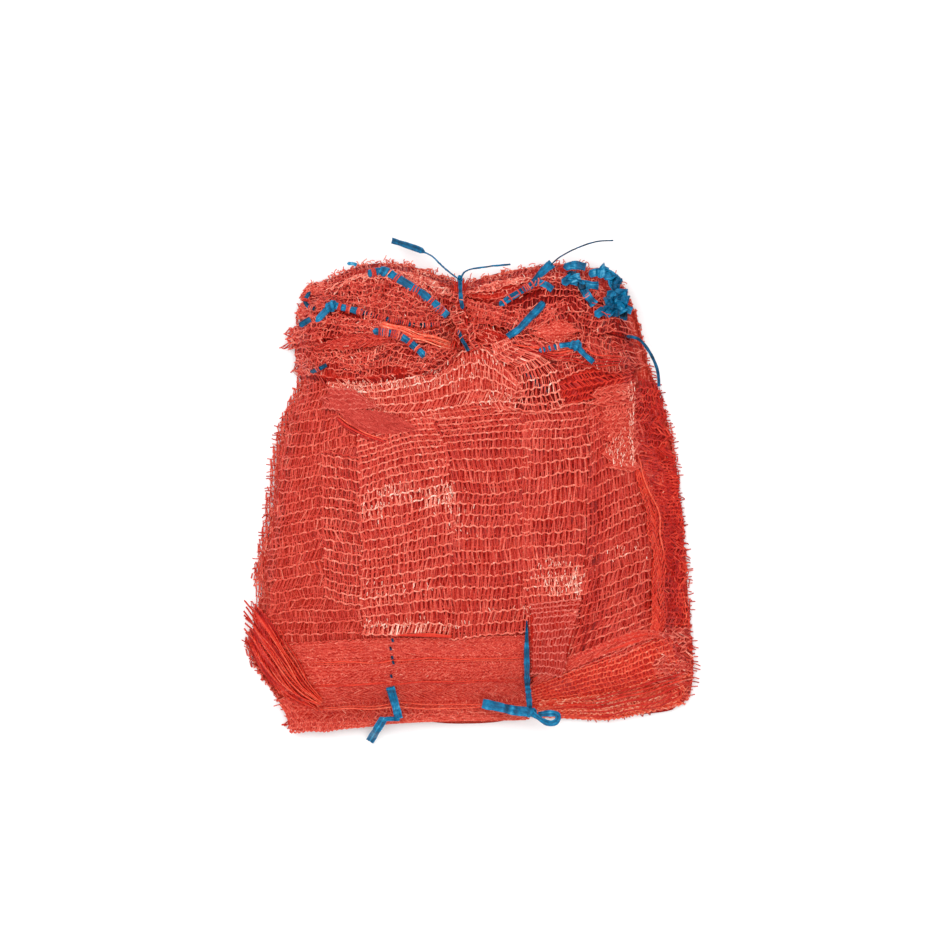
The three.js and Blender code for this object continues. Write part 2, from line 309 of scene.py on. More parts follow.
def plastic(name, colours, roughness, specular, fleck_mm, fleck, knitted=False):
    """A plastic whose colour goes by the tone that each point carries, flecked a little. A knitted one
    also shows chains and cross threads, as deep as the third number of its weave place says."""
    material = bpy.data.materials.new(name)
    material.use_nodes = True
    tree = material.node_tree
    shader = tree.nodes["Principled BSDF"]
    shader.inputs["Roughness"].default_value = roughness
    shader.inputs["IOR"].default_value = PLASTIC_IOR
    shader.inputs["Specular IOR Level"].default_value = specular
    level = node(tree, "ShaderNodeAttribute", {}, attribute_name="tone").outputs["Fac"]
    place = node(tree, "ShaderNodeTexCoord", {}).outputs["Object"]
    noise = node(tree, "ShaderNodeTexNoise", {"Vector": place, "Scale": 1 / (fleck_mm * MM), "Detail": 2.0})
    shift = node(tree, "ShaderNodeMapRange", {
        "Value": noise.outputs["Fac"], "From Min": FLECK_RANGE[0], "From Max": FLECK_RANGE[1],
        "To Min": -fleck, "To Max": fleck,
    })
    flecked = node(tree, "ShaderNodeMath", {0: level, 1: shift.outputs["Result"]}, operation="ADD")
    level = flecked.outputs[0]
    if knitted:
        weave = node(tree, "ShaderNodeAttribute", {}, attribute_name="weave").outputs["Vector"]
        waver = node(tree, "ShaderNodeTexNoise", {"Vector": weave, "Scale": 1 / WEAVE_PATCH, "Detail": 3.0})
        moved = node(tree, "ShaderNodeVectorMath", {
            0: waver.outputs["Color"], 1: WEAVE_SHIFT, 2: weave,
        }, operation="MULTIPLY_ADD")
        cells = node(tree, "ShaderNodeTexBrick", {
            "Vector": moved.outputs[0], "Scale": 1.0, "Brick Width": RUNG_PITCH, "Row Height": ROW_PITCH,
            "Mortar Size": WEAVE_LINE, "Mortar Smooth": WEAVE_SOFT,
        })
        depth = node(tree, "ShaderNodeSeparateXYZ", {"Vector": weave}).outputs["Z"]
        level = node(tree, "ShaderNodeMath", {
            0: cells.outputs["Fac"], 1: depth, 2: level,
        }, operation="MULTIPLY_ADD").outputs[0]
    ramp = node(tree, "ShaderNodeValToRGB", {"Fac": level})
    stops = ramp.color_ramp.elements
    while len(stops) < len(colours):
        stops.new(0.5)
    for stop, (at, code) in zip(stops, colours):
        stop.position = at
        stop.color = linear(code)
    tree.links.new(ramp.outputs["Color"], shader.inputs["Base Color"])
    return material


# Knitted polyethylene net: slit film drawn into threads, red all through, with a waxy gloss.
# Its tone runs up to pale pink for painted highlights, where threads catch the light flat on.
NET = plastic("knitted_polyethylene_net", [
    (0.0, "#6c0401"), (0.3, "#ad1b0f"), (0.55, "#d04a39"), (0.8, "#e98873"), (1.0, "#f8dac8"),
], roughness=0.45, specular=0.22, fleck_mm=1.0, fleck=0.14)

# The same net in layers that show only through the holes above: a soft copy of the knit,
# painted dim with the shade that falls into the holes.
UNDER_NET = plastic("layered_polyethylene_net", [
    (0.0, "#5e0402"), (0.3, "#a6180c"), (0.55, "#cb4433"), (0.8, "#de6853"), (1.0, "#f0b498"),
], roughness=0.7, specular=0.08, fleck_mm=1.1, fleck=0.16, knitted=True)

# The same net folded edge on: light goes through many threads, so it glows orange on the ridges.
# That glow is painted, into its colours and by paler tones on the ridges.
FOLDED_NET = plastic("folded_polyethylene_net", [
    (0.0, "#8a0301"), (0.3, "#b61305"), (0.55, "#d83a22"), (0.8, "#e86d50"), (1.0, "#f2b496"),
], roughness=0.5, specular=0.25, fleck_mm=1.4, fleck=0.12)

# The same net folded double and pressed flat: its fine threads scatter the light to a dull rose.
HAZED_NET = plastic("pressed_polyethylene_net", [
    (0.0, "#881d17"), (0.3, "#a62d25"), (0.55, "#c24439"), (0.8, "#d87466"), (1.0, "#eab4a6"),
], roughness=0.6, specular=0.15, fleck_mm=0.9, fleck=0.14)

# Drawn polypropylene tape: a thin blue film, streaked lengthwise by the drawing, glossy on its folds.
TAPE = plastic("drawn_polypropylene_tape", [
    (0.0, "#011826"), (0.4, "#004f75"), (0.7, "#0076a2"), (1.0, "#66b2cc"),
], roughness=0.42, specular=0.2, fleck_mm=1.6, fleck=0.1)


# Bodies

DIAMOND = [(1, 0), (0, 1), (-1, 0), (0, -1)]
FLAT = [(1, 1), (-1, 1), (-1, -1), (1, -1)]


def loft(name, parts, material, weave=None, smooth=False):
    """Closed bodies from rings of points. Each part is rings[body, step, side] and their tones. A ring is
    joined to the next by four-sided faces, and the first and the last ring of a body are filled."""
    loops, totals, first = [], [], 0
    for rings, _ in parts:
        bodies, steps, sides = rings.shape[:3]
        index = first + np.arange(bodies * steps * sides).reshape(bodies, steps, sides)
        first += index.size
        near, far = index[:, :-1], index[:, 1:]
        walls = np.stack([near, np.roll(near, -1, 2), np.roll(far, -1, 2), far], -1).reshape(-1, 4)
        caps = np.concatenate([index[:, 0, ::-1], index[:, -1]])
        loops += [walls.ravel(), caps.ravel()]
        totals += [np.full(len(walls), 4), np.full(len(caps), sides)]
    loops, totals = np.concatenate(loops), np.concatenate(totals)
    points = np.concatenate([rings.reshape(-1) for rings, _ in parts])
    tones = np.concatenate([np.broadcast_to(tone, rings.shape[:3]).ravel() for rings, tone in parts])
    mesh = bpy.data.meshes.new(name)
    mesh.vertices.add(first)
    mesh.vertices.foreach_set("co", (points * MM).astype(np.float32))
    mesh.loops.add(len(loops))
    mesh.loops.foreach_set("vertex_index", loops.astype(np.int32))
    mesh.polygons.add(len(totals))
    mesh.polygons.foreach_set("loop_start", (np.cumsum(totals) - totals).astype(np.int32))
    mesh.polygons.foreach_set("loop_total", totals.astype(np.int32))
    mesh.polygons.foreach_set("use_smooth", np.full(len(totals), smooth))
    mesh.update(calc_edges=True)
    mesh.attributes.new("tone", "FLOAT", "POINT").data.foreach_set("value", tones.astype(np.float32))
    if weave is not None:
        at = mesh.attributes.new("weave", "FLOAT_VECTOR", "POINT")
        at.data.foreach_set("vector", weave.astype(np.float32).ravel())
    mesh.materials.append(material)
    piece = bpy.data.objects.new(name, mesh)
    bpy.context.scene.collection.objects.link(piece)
    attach(piece, "root")
    return piece


def bars(middles, side, up, corner):
    """Rings of four points round each middle: corner gives each point's share of side and up."""
    return middles[..., None, :] + sum(
        np.array(corner)[:, axis, None] * vector[..., None, :] for axis, vector in enumerate((side, up))
    )


def painted_light_tone(x, y, painted_light_spots):
    """Painted light and shade from spots, each a soft ellipse (x, y, reach along x, reach along y, gain):
    paler where the gain is above 0, darker where it is below.
    """
    total = 0 * x
    for at_x, at_y, wide, high, gain in painted_light_spots:
        total = total + gain * np.exp(-(((x - at_x) / wide) ** 2) - ((y - at_y) / high) ** 2)
    return total


# Knitted sheets


def chain_points(place, width, height, lines, count, rungs, drop, fray, waver, crumple):
    """Points along every chain, two a pitch, with their shares, the way along and the way up. Chains run
    along s at even steps of t, each swinging from side to side once in two pitches, and drop moves them
    all by a share of a step. Slow waves bend them, and crumple throws them up and along."""
    k, j = np.arange(2 * count + 1)[None], np.arange(lines)[:, None]
    phase = draw.uniform(0, TURN, (lines, 1))
    s = k * width / (2 * count) + fray * draw.normal(size=(lines, 1))
    s = s + draw.uniform(-ROW_SHIFT, ROW_SHIFT) * rungs
    t = (j + drop) * height / (lines - 1) + 0 * s
    s = s + waver * uneven(SWAY_LENGTHS[0])(s, t) + LOOP_SCATTER[0] * draw.normal(size=s.shape)
    t = t + ROW_WAVE * np.sin(np.pi / 2 * k + phase) + waver * uneven(SWAY_LENGTHS[1])(s, t)
    t = t + LOOP_SCATTER[1] * draw.normal(size=s.shape)
    points = place(s / width, t / height)
    along = unit(np.gradient(points, axis=1))
    up = unit(np.cross(along, np.gradient(points, axis=0)))
    if crumple:
        rise, slide = (uneven(length)(s, t)[..., None] for length in CRUMPLE_LENGTHS)
        points = points + crumple * (rise * up + CRUMPLE_ALONG * slide * along)
    points = points + up * (LOOP_SCATTER[2] * draw.normal(size=s.shape))[..., None]
    points[..., 2] = np.maximum(points[..., 2], NET_LOWEST)
    return points, s, t, along, up


def stitches(place, width, height, rows=ROW_PITCH, rungs=RUNG_PITCH, rung=THREAD_WIDTH, tone=0.5, chain=0.62,
             mottle=0.08, drop=0.0, keep=None, fray=1.0, waver=0.8, crumple=0.0, scale=1.0, painted_light_spots=(),
             threads=2, shade=0.0, ridge=0.0, fold=None):
    """A knitted sheet as parts for a loft: chains and cross threads. place turns shares (s, t) into points.
    At each pitch a few thin threads cross straight to the next chain, spread at the lower one and gathered
    at the upper one, and they lean together in slow waves. keep(x, y) says where there is net. Shade
    darkens it towards both edges of t, as the sine from edge to edge, and ridge makes it paler on folds:
    painted shade and painted light."""
    lines = max(2, int(round(height / rows)) + 1)
    count = max(2, int(round(width / rungs)))
    points, s, t, along, up = chain_points(
        place, width, height, lines, count, rungs, drop, fray, waver, crumple,
    )
    across = np.cross(up, along)
    LAID.append(points.reshape(-1, 3))

    cell = 2 * np.arange(count)[:, None] + np.arange(3)[None]
    size = scale * draw.uniform(*ROW_SPREAD, (lines, count, 3, 1))
    chains = bars(points[:, cell], 0.5 * ROW_WIDTH * size * across[:, cell],
                  0.5 * ROW_THICK * size * up[:, cell], DIAMOND)

    middle = np.repeat(2 * np.arange(count) + 1, threads)
    crossed = (lines - 1, len(middle))
    lean = THREAD_LEAN * uneven(LEAN_LENGTH)(s, t)[:-1, middle]
    part = np.tile(2 * (np.arange(threads) + 0.5) / threads - 1, count)
    foot, head = (middle + fan * part + THREAD_SCATTER * draw.normal(size=crossed) for fan in THREAD_FAN)
    start, end = on_chain(points[:-1], foot), on_chain(points[1:], head + lean)
    face = up[:-1, middle]
    side = unit(np.cross(face, end - start))
    side, face = turned(side, face, THREAD_TILT * draw.normal(size=(*crossed, 1)))
    breadth = rung * scale * draw.uniform(*THREAD_SPREAD, (*crossed, 1, 1))
    side, face = side[:, :, None], face[:, :, None]
    crosses = bars(np.stack([start, end], 2) - THREAD_SINK * face, 0.5 * breadth * side,
                   0.5 * THREAD_THICK * face + 0 * breadth, FLAT)

    # Painted shade towards both edges of t, and painted light on the ridges of folds
    dim = shade * (np.sin(np.pi * np.clip(t / height, 0, 1)) - 1)
    if fold:
        dim = dim + ridge * fold(s / width, t / height)
    chain_tone = chain + dim[:, cell] + CHAIN_MOTTLE * draw.normal(size=chains.shape[:3])
    ends = np.stack([dim[:-1, middle], dim[1:, middle]], 2)
    cross_tone = tone + ends + mottle * draw.normal(size=(*crossed, 1))
    cross_tone = cross_tone + END_MOTTLE * draw.normal(size=crosses.shape[:3])
    return [kept_bodies(*part, keep, painted_light_spots) for part in ((chains, chain_tone), (crosses, cross_tone))]


def kept_bodies(rings, tones, keep, painted_light_spots):
    """The bodies of a net that lie where there is net, each painted paler at random where the spots paint
    light, and darker where they paint shade.
    """
    rings, tones = rings.reshape(-1, *rings.shape[2:]), tones.reshape(-1, rings.shape[2])
    x, y, _ = np.moveaxis(rings.mean(2), -1, 0)
    painted_light = painted_light_tone(x.mean(1), y.mean(1), painted_light_spots)
    tones = tones + (PAINTED_LIGHT_GAIN * draw.random(len(rings)) * painted_light)[:, None]
    kept = np.ones(len(rings), bool) if keep is None else keep(x, y).all(1)
    return rings[kept], tones[kept][..., None]


def on_chain(points, step):
    """The point on each chain at a broken step number, straight between the steps beside it."""
    step = np.clip(step, 0, points.shape[1] - SHORT_OF_END)
    first = step.astype(int)[..., None]
    rest = step[..., None] - first
    near, far = (np.take_along_axis(points, first + i, 1) for i in (0, 1))
    return near * (1 - rest) + far * rest


def turned(side, face, angle):
    """Two directions at right angles, turned in their own plane."""
    c, s = np.cos(angle), np.sin(angle)
    return side * c + face * s, face * c - side * s


def film(name, place, size, tone, material=UNDER_NET, slot="net", weave=0.14, streaks=0.0, shade=0.0,
         ridge=0.0, step=2.5, span=(0, 1)):
    """A closed thin sheet under a knit: place gives its top, and its bottom lies a film's thickness lower.
    It stands for the deeper layers of net, and a low tone paints them dark with the shade in their holes.
    Streaks run along s. Shade darkens it towards both edges of t, as the sine from edge to edge, and
    ridge paints light on its folds and shade between them."""
    width, height = size
    columns, lines = max(4, int(width / step)), max(4, int(height / step))
    across = np.linspace(FILM_MARGIN, 1 - FILM_MARGIN, lines + 1)
    s, t = np.meshgrid(np.linspace(*span, columns + 1), across)
    top = place(s, t)
    tones = tone + streaks * draw.normal(size=(lines + 1, 1)) - shade * (1 - np.sin(np.pi * t))
    tones = tones + ridge * place.fold(s, t) + 0 * s
    at = np.stack([s * width, t * height, weave + 0 * s], -1)
    rings = np.concatenate([top, (top - (0, 0, FILM_THICK))[:, ::-1]], 1)
    tones, at = (np.concatenate([a, a[:, ::-1]], 1) for a in (tones, at))
    LAID.append(top.reshape(-1, 3))
    return loft(name, [(rings[None], tones[None])], material, at, smooth=True)


def panel(name, sheet, size, tones, under=None, slot="net", material=NET, rise=NET_RISE, painted_light_spots=(), **how):
    """Nets one above the other, their chains out of step, over a film where under says how it looks. tones
    gives each net's cross threads and chains. Only the top net gets the painted light and shade of the spots."""
    if under:
        film(f"{name}_film", sheet, size, slot=slot, **under)
    last = len(tones) - 1
    for layer, (tone, chain) in enumerate(tones):
        label = f"{name}_net_{layer + 1}" if last else f"{name}_net"
        parts = stitches(raised(sheet, rise + LAYER_STEP * layer), *size, tone=tone, chain=chain,
                         drop=LAYER_DROP * (last - layer), painted_light_spots=painted_light_spots if layer == last else (), **how)
        top = loft(label, parts, material)
    return top


SWELL_LENGTH = 45  # of the slow waves in a sheet's height
PLEAT_WANDER = 0.12  # how far pleats wander, in pleats
WANDER_TURNS = 8  # how fast, as an angle from end to end
PLEAT_SHARES = (0.6, 0.4)  # of the broad and the narrow pleats in the depth
NARROW_PLEATS = 1.7  # how many narrow ones there are to a broad one
ROLL_ROWS = 5
ROLL_POWER = 0.6  # of the sine that a roll bulges by, below 1 for a fuller one


def laid(grid, lift=0.0, pleats=0.0, depth=0.0, swell=0.0, over=None):
    """A sheet over the front, or over other heights, through a grid of (x, y) or (x, y, rise). It swells
    slowly. Pleats run along s: two cosines across t, of unlike width, that wander a little along s."""
    grid = np.array([[(*p, 0)[:3] for p in line] for line in grid], float)
    swelling = uneven(SWELL_LENGTH)
    phase = draw.uniform(0, TURN, 3)

    def fold(s, t):
        wander = PLEAT_WANDER * np.sin(WANDER_TURNS * s + phase[0])
        broad = np.cos(TURN * (pleats * t + wander) + phase[1])
        narrow = np.cos(TURN * (NARROW_PLEATS * pleats * t - 2 * wander) + phase[2])
        return PLEAT_SHARES[0] * broad + PLEAT_SHARES[1] * narrow

    def place(s, t, more=0.0):
        x, y, rise = np.moveaxis(sheet_through(grid, s, t), -1, 0)
        height = rise + lift + depth * fold(s, t) + swell * swelling(x, y) + more
        return np.stack([x, y, height_at(FRONT if over is None else over, x, y) + height], -1)
    place.fold = fold
    return place


def raised(place, more):
    """The same sheet, lifted."""
    return lambda s, t: place(s, t, more)


def roll(low, high, rise):
    """A grid for a bulging fold between two guide lines: its rise goes as a power of the sine from edge to
    edge, so that it is full near its edges too."""
    low, high = np.array(low, float), np.array(high, float)
    rows = []
    for share in np.linspace(0, 1, ROLL_ROWS):
        level = rise * math.sin(math.pi * share) ** ROLL_POWER
        rows.append(np.column_stack([low + share * (high - low), np.full(len(low), level)]))
    return rows


# Threads, folds and scraps

STRAND_LOWEST = 0.6
STRAND_MOTTLE = 0.1


def strands(name, starts, heading, length, bend, radius, tone, steps):
    """Loose threads: each leaves its start at a heading and turns evenly by bend over its length."""
    way = np.linspace(0, 1, steps)[None]
    turn = heading[:, None] + bend[:, None] * way
    stride = np.stack([np.cos(turn), np.sin(turn), 0 * turn], -1) * (length / steps)[:, None, None]
    line = starts[:, None] + np.cumsum(stride, 1)
    line[..., 2] = np.maximum(line[..., 2], STRAND_LOWEST)
    ahead = unit(np.gradient(line, axis=1))
    side = unit(np.cross((0, 0, 1), ahead))
    rings = bars(line, radius * side, radius * np.cross(ahead, side), DIAMOND)
    return loft(name, [(rings, tone + STRAND_MOTTLE * draw.normal(size=(len(starts), 1, 1)))], NET)


def glints(name, place, count, painted_light_spots, gain):
    """Painted glints: short pale slivers that stand on the cross threads where the spots paint light."""
    s, t = draw.random((2, count))
    spots = place(s, t)
    kept = draw.random(count) < painted_light_tone(spots[:, 0], spots[:, 1], painted_light_spots) * gain
    spots = spots[kept] + (0, 0, 0.4)
    size = len(spots)
    heading = np.pi / 2 + 0.2 * draw.normal(size=size)
    length = draw.uniform(2, 5, size)
    bend = 0.15 * draw.normal(size=size)
    return strands(name, spots, heading, length, bend, radius=0.24, tone=0.82, steps=3)


FOLD_STEPS = 48
FOLD_SIDES = 14
FOLD_SWAY = 38  # length of the waves that a fold wanders in
FOLD_LUMPS = 16  # and of those that its width swells in
FOLD_SWELL = 0.2  # how far it swells, as a share
FOLD_APART = (7.0, 37.0)  # from fold to fold in the two fields of waves, so that no two are alike
FOLD_STRAY = 0.22  # how far a fold lies off its even place, as a share of the step
FOLD_SPREAD = (0.7, 1.3)  # widths, as shares of the usual one
FOLD_LEAST = 0.06
FOLD_ROUGH = 0.12
FOLD_DIM = 0.08  # how much darker it is all over
FOLD_GLOW = 0.14  # and how much paler on top: painted light
FOLD_STREAKS = (0.08, 0.05, 0.1)  # how far tones stray round a fold, along it and from fold to fold


def folds(name, low, high, count, width, rise, tone, wander=1.2, lift=0.3, ends=(0.5, 0.4),
          late=0.0):
    """Rounded pleats side by side between two guide lines: flat closed tubes that wander a little, whose
    width goes straight from the first share of ends to the second. Each is streaked along and painted
    paler on top, as painted light, and starts up to the share late further on."""
    ground = ground_now()
    share = np.linspace(0, 1, FOLD_STEPS)
    numbers = np.arange(count)
    rank = (numbers + 0.5 + FOLD_STRAY * draw.normal(size=count)) / count
    begin = late * draw.random((count, 1))
    along = begin + (1 - begin) * share
    first, last = (curve_through(guide, along) for guide in (low, high))
    middle = first + rank[:, None, None] * (last - first)
    far = along * np.linalg.norm(np.diff(first[0], axis=0), axis=1).sum()
    sway_field, lump_field = (apart * numbers[:, None] + 0 * far for apart in FOLD_APART)
    sway = np.stack([uneven(FOLD_SWAY)(far, sway_field) for _ in range(2)], -1)
    middle = middle + wander * sway * np.sin(np.pi * share)[None, :, None]
    z = height_at(ground, middle[..., 0], middle[..., 1]) + lift + 0.5 * rise * draw.random((count, 1))
    line = np.concatenate([middle, z[..., None]], -1)
    ahead = unit(np.gradient(line, axis=1))
    side = unit(np.cross((0, 0, 1), ahead))
    up = np.cross(ahead, side)
    phi = np.linspace(0, TURN, FOLD_SIDES, endpoint=False)
    fat = (ends[0] + (ends[1] - ends[0]) * share) * (1 - np.abs(2 * share - 1) ** 12)
    fat = fat[None] * draw.uniform(*FOLD_SPREAD, (count, 1))
    fat = fat * (1 + FOLD_SWELL * uneven(FOLD_LUMPS)(far, lump_field))
    fat = np.maximum(fat, FOLD_LEAST)[..., None, None]
    rough = 1 + FOLD_ROUGH * draw.normal(size=(count, 1, FOLD_SIDES, 1))
    rings = line[:, :, None] + fat * rough * (
        width * np.cos(phi)[:, None] * side[:, :, None] + rise * np.sin(phi)[:, None] * up[:, :, None]
    )
    tones = tone - FOLD_DIM + FOLD_GLOW * np.sin(phi)
    shapes = ((count, 1, FOLD_SIDES), (count, FOLD_STEPS, 1), (count, 1, 1))
    for streak, shape in zip(FOLD_STREAKS, shapes):
        tones = tones + streak * draw.normal(size=shape)
    LAID.append(line.reshape(-1, 3))
    return loft(name, [(rings, tones)], FOLDED_NET, smooth=True)


SCRAP_LIFT = 0.6
SCRAP_BREADTH = 0.45  # as a share of its length
SCRAP_MOTTLE = 0.06


def scraps(name, low, high, count, size, tone, chain, turn, rise=2.0, **how):
    """Crumpled bits of net between two guide lines. Each is a small knitted sheet that lies nearly along
    the guides, bows sideways as a parabola and arches as the sine from edge to edge."""
    ground = ground_now()
    parts = []
    for u, v, spin, bow in zip(draw.random(count), draw.uniform(0.15, 0.85, count), draw.normal(size=count),
                               draw.uniform(-0.2, 0.2, count)):
        near = np.array([u - 0.02, u + 0.02])
        line = curve_through(low, near) * (1 - v) + curve_through(high, near) * v
        (x0, y0), ahead = line.mean(0), line[1] - line[0]
        angle = math.atan2(ahead[1], ahead[0]) + turn * spin
        length = size * draw.uniform(0.6, 1.4)
        breadth = SCRAP_BREADTH * size * draw.uniform(0.7, 1.3)
        level = SCRAP_LIFT * draw.uniform(0.4, 1.4)
        hump = rise * draw.uniform(0.4, 1.2)

        def place(s, t):
            over = (t - 0.5) * breadth + bow * length * ((2 * s - 1) ** 2 - 0.3)
            x = x0 + (s - 0.5) * length * math.cos(angle) - over * math.sin(angle)
            y = y0 + (s - 0.5) * length * math.sin(angle) + over * math.cos(angle)
            z = height_at(ground, x, y) + level + hump * np.sin(np.pi * np.clip(t, 0, 1))
            return np.stack([x, y, z], -1)
        parts += stitches(place, length, breadth, tone=tone + SCRAP_MOTTLE * draw.normal(),
                          chain=chain + SCRAP_MOTTLE * draw.normal(), keep=near_front, **how)
    return loft(name, parts, NET)


# What can't be seen through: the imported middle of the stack

CORE_STEPS = 240
CORE_FLOOR = 1.0  # height of its underside
CORE_SHARES = (0.02, 0.3, 0.6, 0.9)  # of its reach, for the rings of the underside
CORE_RINGS = 60  # over its front
CORE_SINK = 0.6  # how far it lies below the front
CORE_LEVEL = 0.4  # of its wall's rings within each sack's height, as a share


def make_core():
    """A turned body: the underside, a wall that follows each sack's edge some way in, then the front."""
    turn = np.linspace(0, TURN, CORE_STEPS, endpoint=False)
    inset = fringe(turn) + notch(turn)
    rings = [(share * (leaf_radius(0, turn) - inset), 0 * turn + CORE_FLOOR) for share in CORE_SHARES]
    for leaf in range(LEAVES):
        rings.append((leaf_radius(leaf, turn) - inset, 0 * turn + EDGE * (leaf + CORE_LEVEL) / LEAVES))
    for share in np.linspace(1, CORE_SHARES[0], CORE_RINGS)[1:]:
        reach = share * (leaf_radius(LEAVES - 1, turn) - inset)
        rings.append((reach, front(reach * np.cos(turn), reach * np.sin(turn)) - CORE_SINK))
    points = np.stack([np.stack([r * np.cos(turn), r * np.sin(turn), z], -1) for r, z in rings])
    weave = points * (1, 1, 0) + (0, 0, 0.12)
    core = loft("packed_net_core", [(points[None], 0.38)], UNDER_NET, weave, smooth=True)
    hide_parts("sack_stack")


make_core()


# The edges of the sacks round the rim, one above the other

LEAF_REACH = 13  # how far in a sack's edge is knitted out
LEAF_LOWEST = 1.9
LEAF_SWELL = 0.9
LEAF_RAGGED = 0.3
LEAF_LEVEL = 0.55  # within its sack's height, as a share
LEAF_DRAWN_IN = 0.2  # where the fringe is short, as a share of what it lacks


def make_leaf(leaf):
    """A flat knitted ring at one sack's height, ragged at its edge and uneven in height."""
    low, high = corners.min(0), corners.max(0)
    level = EDGE * (leaf + LEAF_LEVEL) / LEAVES
    swelling = uneven(SWELL_LENGTH)

    def place(s, t):
        x = low[0] + s * (high[0] - low[0])
        y = low[1] + t * (high[1] - low[1])
        return np.stack([x, y, np.maximum(LEAF_LOWEST, level + LEAF_SWELL * swelling(x, y))], -1)

    def keep(x, y):
        r, turn = polar(x, y)
        tip = leaf_radius(leaf, turn) - LEAF_DRAWN_IN * (FRINGE["left"] - fringe(turn)) - notch(turn)
        return (r < tip + LEAF_RAGGED * draw.normal(size=r.shape)) & (r > tip - LEAF_REACH)

    parts = stitches(place, high[0] - low[0], high[1] - low[1], rows=4.2, rungs=2.8, rung=0.8, tone=0.48,
                     chain=0.6, keep=keep, fray=0.0)
    loft(f"sack_edge_{leaf + 1}", parts, NET)


for number in range(LEAVES):
    make_leaf(number)


# The front sacks, laid over the stack. Grids give places as seen from the front, row by row from below.

BASE = [
    [(-128, -166), (-64, -162), (10, -162), (90, -160), (158, -150)],
    [(-161, -113), (-80, -110), (10, -110), (90, -108), (160, -103)],
    [(-153, -60), (-77, -51), (10, -52), (90, -49), (157, -45)],
    [(-145, -6), (-74, 4), (7, 3), (84, 7), (152, 8)],
    [(-133, 48), (-68, 60), (2, 64), (72, 64), (144, 58)],
    [(-122, 96), (-62, 112), (-4, 118), (60, 114), (130, 108)],
]
SIDE = [
    [(-103, -75), (-90, -78), (-76, -80)],
    [(-105, -25), (-91, -28), (-76, -30)],
    [(-105, 28), (-91, 25), (-77, 22)],
]
SHOULDER = [
    [(-94, 66), (-62, 52), (-27, 52), (8, 57), (44, 58)],
    [(-98, 72), (-63, 65), (-27, 69), (7, 78), (42, 67)],
    [(-101, 78), (-64, 77), (-27, 86), (6, 103), (36, 78)],
]
FOLD_LEFT = [
    [(-75, -101), (-54, -101), (-33, -101), (-11.5, -101)],
    [(-76, -62), (-54, -58), (-33, -55), (-11, -52)],
    [(-77, -22), (-55, -16), (-33, -11), (-10.5, -7)],
    [(-78, 16), (-57, 22), (-36, 27), (-15, 30)],
    [(-78, 42), (-60, 47), (-42, 51), (-24, 53)],
]
FOLD_MIDDLE = [
    [(-15, -103), (12, -102), (42, -100)],
    [(-15, -55), (14, -54), (43, -52)],
    [(-15, -8), (14, -8), (44, -6)],
    [(-20, 32), (12, 34), (44, 36)],
    [(-30, 55), (8, 60), (44, 62)],
]
FOLD_CORNER = [
    [(45, -129), (56, -128), (67, -131)],
    [(44, -106), (59, -106), (74, -106)],
    [(41, -76), (60, -75), (80.5, -73)],
    [(38, -48), (60, -46), (82.5, -44)],
    [(38, -6), (60, -5), (84.5, -2)],
    [(38, 36), (62, 37), (86, 40)],
    [(38, 62), (62, 62), (84, 64)],
]
FOLD_RIGHT = [
    [(64, -138), (98, -122), (132, -104)],
    [(71, -110), (102, -98), (134, -86)],
    [(78, -76), (106, -66), (134, -56)],
    [(84, -40), (108, -30), (133, -20)],
    [(85, -4), (106, 6), (126, 14)],
    [(86, 32), (104, 42), (119, 50)],
    [(86, 58), (104, 70), (120.6, 80)],
]
# Painted highlights where the gain is above 0, and painted shade where it is below:
# (x, y, reach along x and y, gain)
PAINTED_LIGHT_SPOTS = [
    (-21, -3, 11, 6, 1.0), (-50, -2, 18, 6, 0.5), (-67, -13, 9, 8, 0.45), (-64, -74, 14, 6, 0.4),
    (-28, -69, 14, 3, 0.25), (-42, -96, 32, 3, 0.9), (64, -66, 14, 8, 0.55), (77, -67, 3, 7, 0.7),
    (-6, -20, 10, 12, 0.2), (64, -52, 12, 4, 0.25), (40, -86, 14, 3, 0.2), (60, -128, 9, 2.5, 0.9),
    (115, -44, 16, 4, 0.35), (90, -40, 5, 60, -0.5), (84, -100, 6, 20, -0.5),
]
# Painted highlights on the shoulder, in the same form
SHOULDER_PAINTED_LIGHT_SPOTS = [
    (-78, 74, 14, 5, 0.5), (-50, 76, 20, 4, 0.4), (-20, 80, 20, 4, 0.4), (20, 66, 12, 6, 0.3),
    (-110, 62, 8, 8, 0.2), (8, 92, 14, 8, 0.2),
]

panel("base", laid(BASE), (300, 272), [(0.37, 0.43), (0.43, 0.55)], keep=on_front, waver=1.2, rows=8.0)
panel("side_panel", laid(SIDE, lift=1.6), (28, 104), [(0.34, 0.42), (0.45, 0.64)], slot="front_net", fray=0.6)
shoulder = laid(SHOULDER, lift=1.2, swell=0.5)
panel("shoulder", shoulder, (140, 34), [(0.4, 0.48), (0.52, 0.72)], dict(tone=0.2), painted_light_spots=SHOULDER_PAINTED_LIGHT_SPOTS)
glints("shoulder_glints", raised(shoulder, 1.3), 3600, SHOULDER_PAINTED_LIGHT_SPOTS, gain=0.7)
# glow paints the panels that lie higher a little paler, as painted light; their dark films are painted shade
for name, grid, size, lift, rows, glow in [
    ("front_fold_right", FOLD_RIGHT, (54, 190), 1.2, 7.4, -0.02),
    ("front_fold_middle", FOLD_MIDDLE, (60, 160), 1.6, 7.4, 0.0),
    ("front_fold_corner", FOLD_CORNER, (44, 192), 2.0, 7.4, 0.02),
    ("front_fold_left", FOLD_LEFT, (64, 148), 2.4, 6.2, 0.03),
]:
    sheet = laid(grid, lift, swell=0.5)
    tones = [(0.3, 0.4), (0.42 + glow, 0.63 + glow)]
    fold = panel(name, sheet, size, tones, dict(tone=0.08, span=(0.03, 0.97)), slot="front_net", rows=rows,
                 fray=0.5, painted_light_spots=PAINTED_LIGHT_SPOTS, threads=3)
    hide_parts(name)
    glints(f"{name}_glints", raised(sheet, 1.4), 8000, PAINTED_LIGHT_SPOTS, gain=0.5)

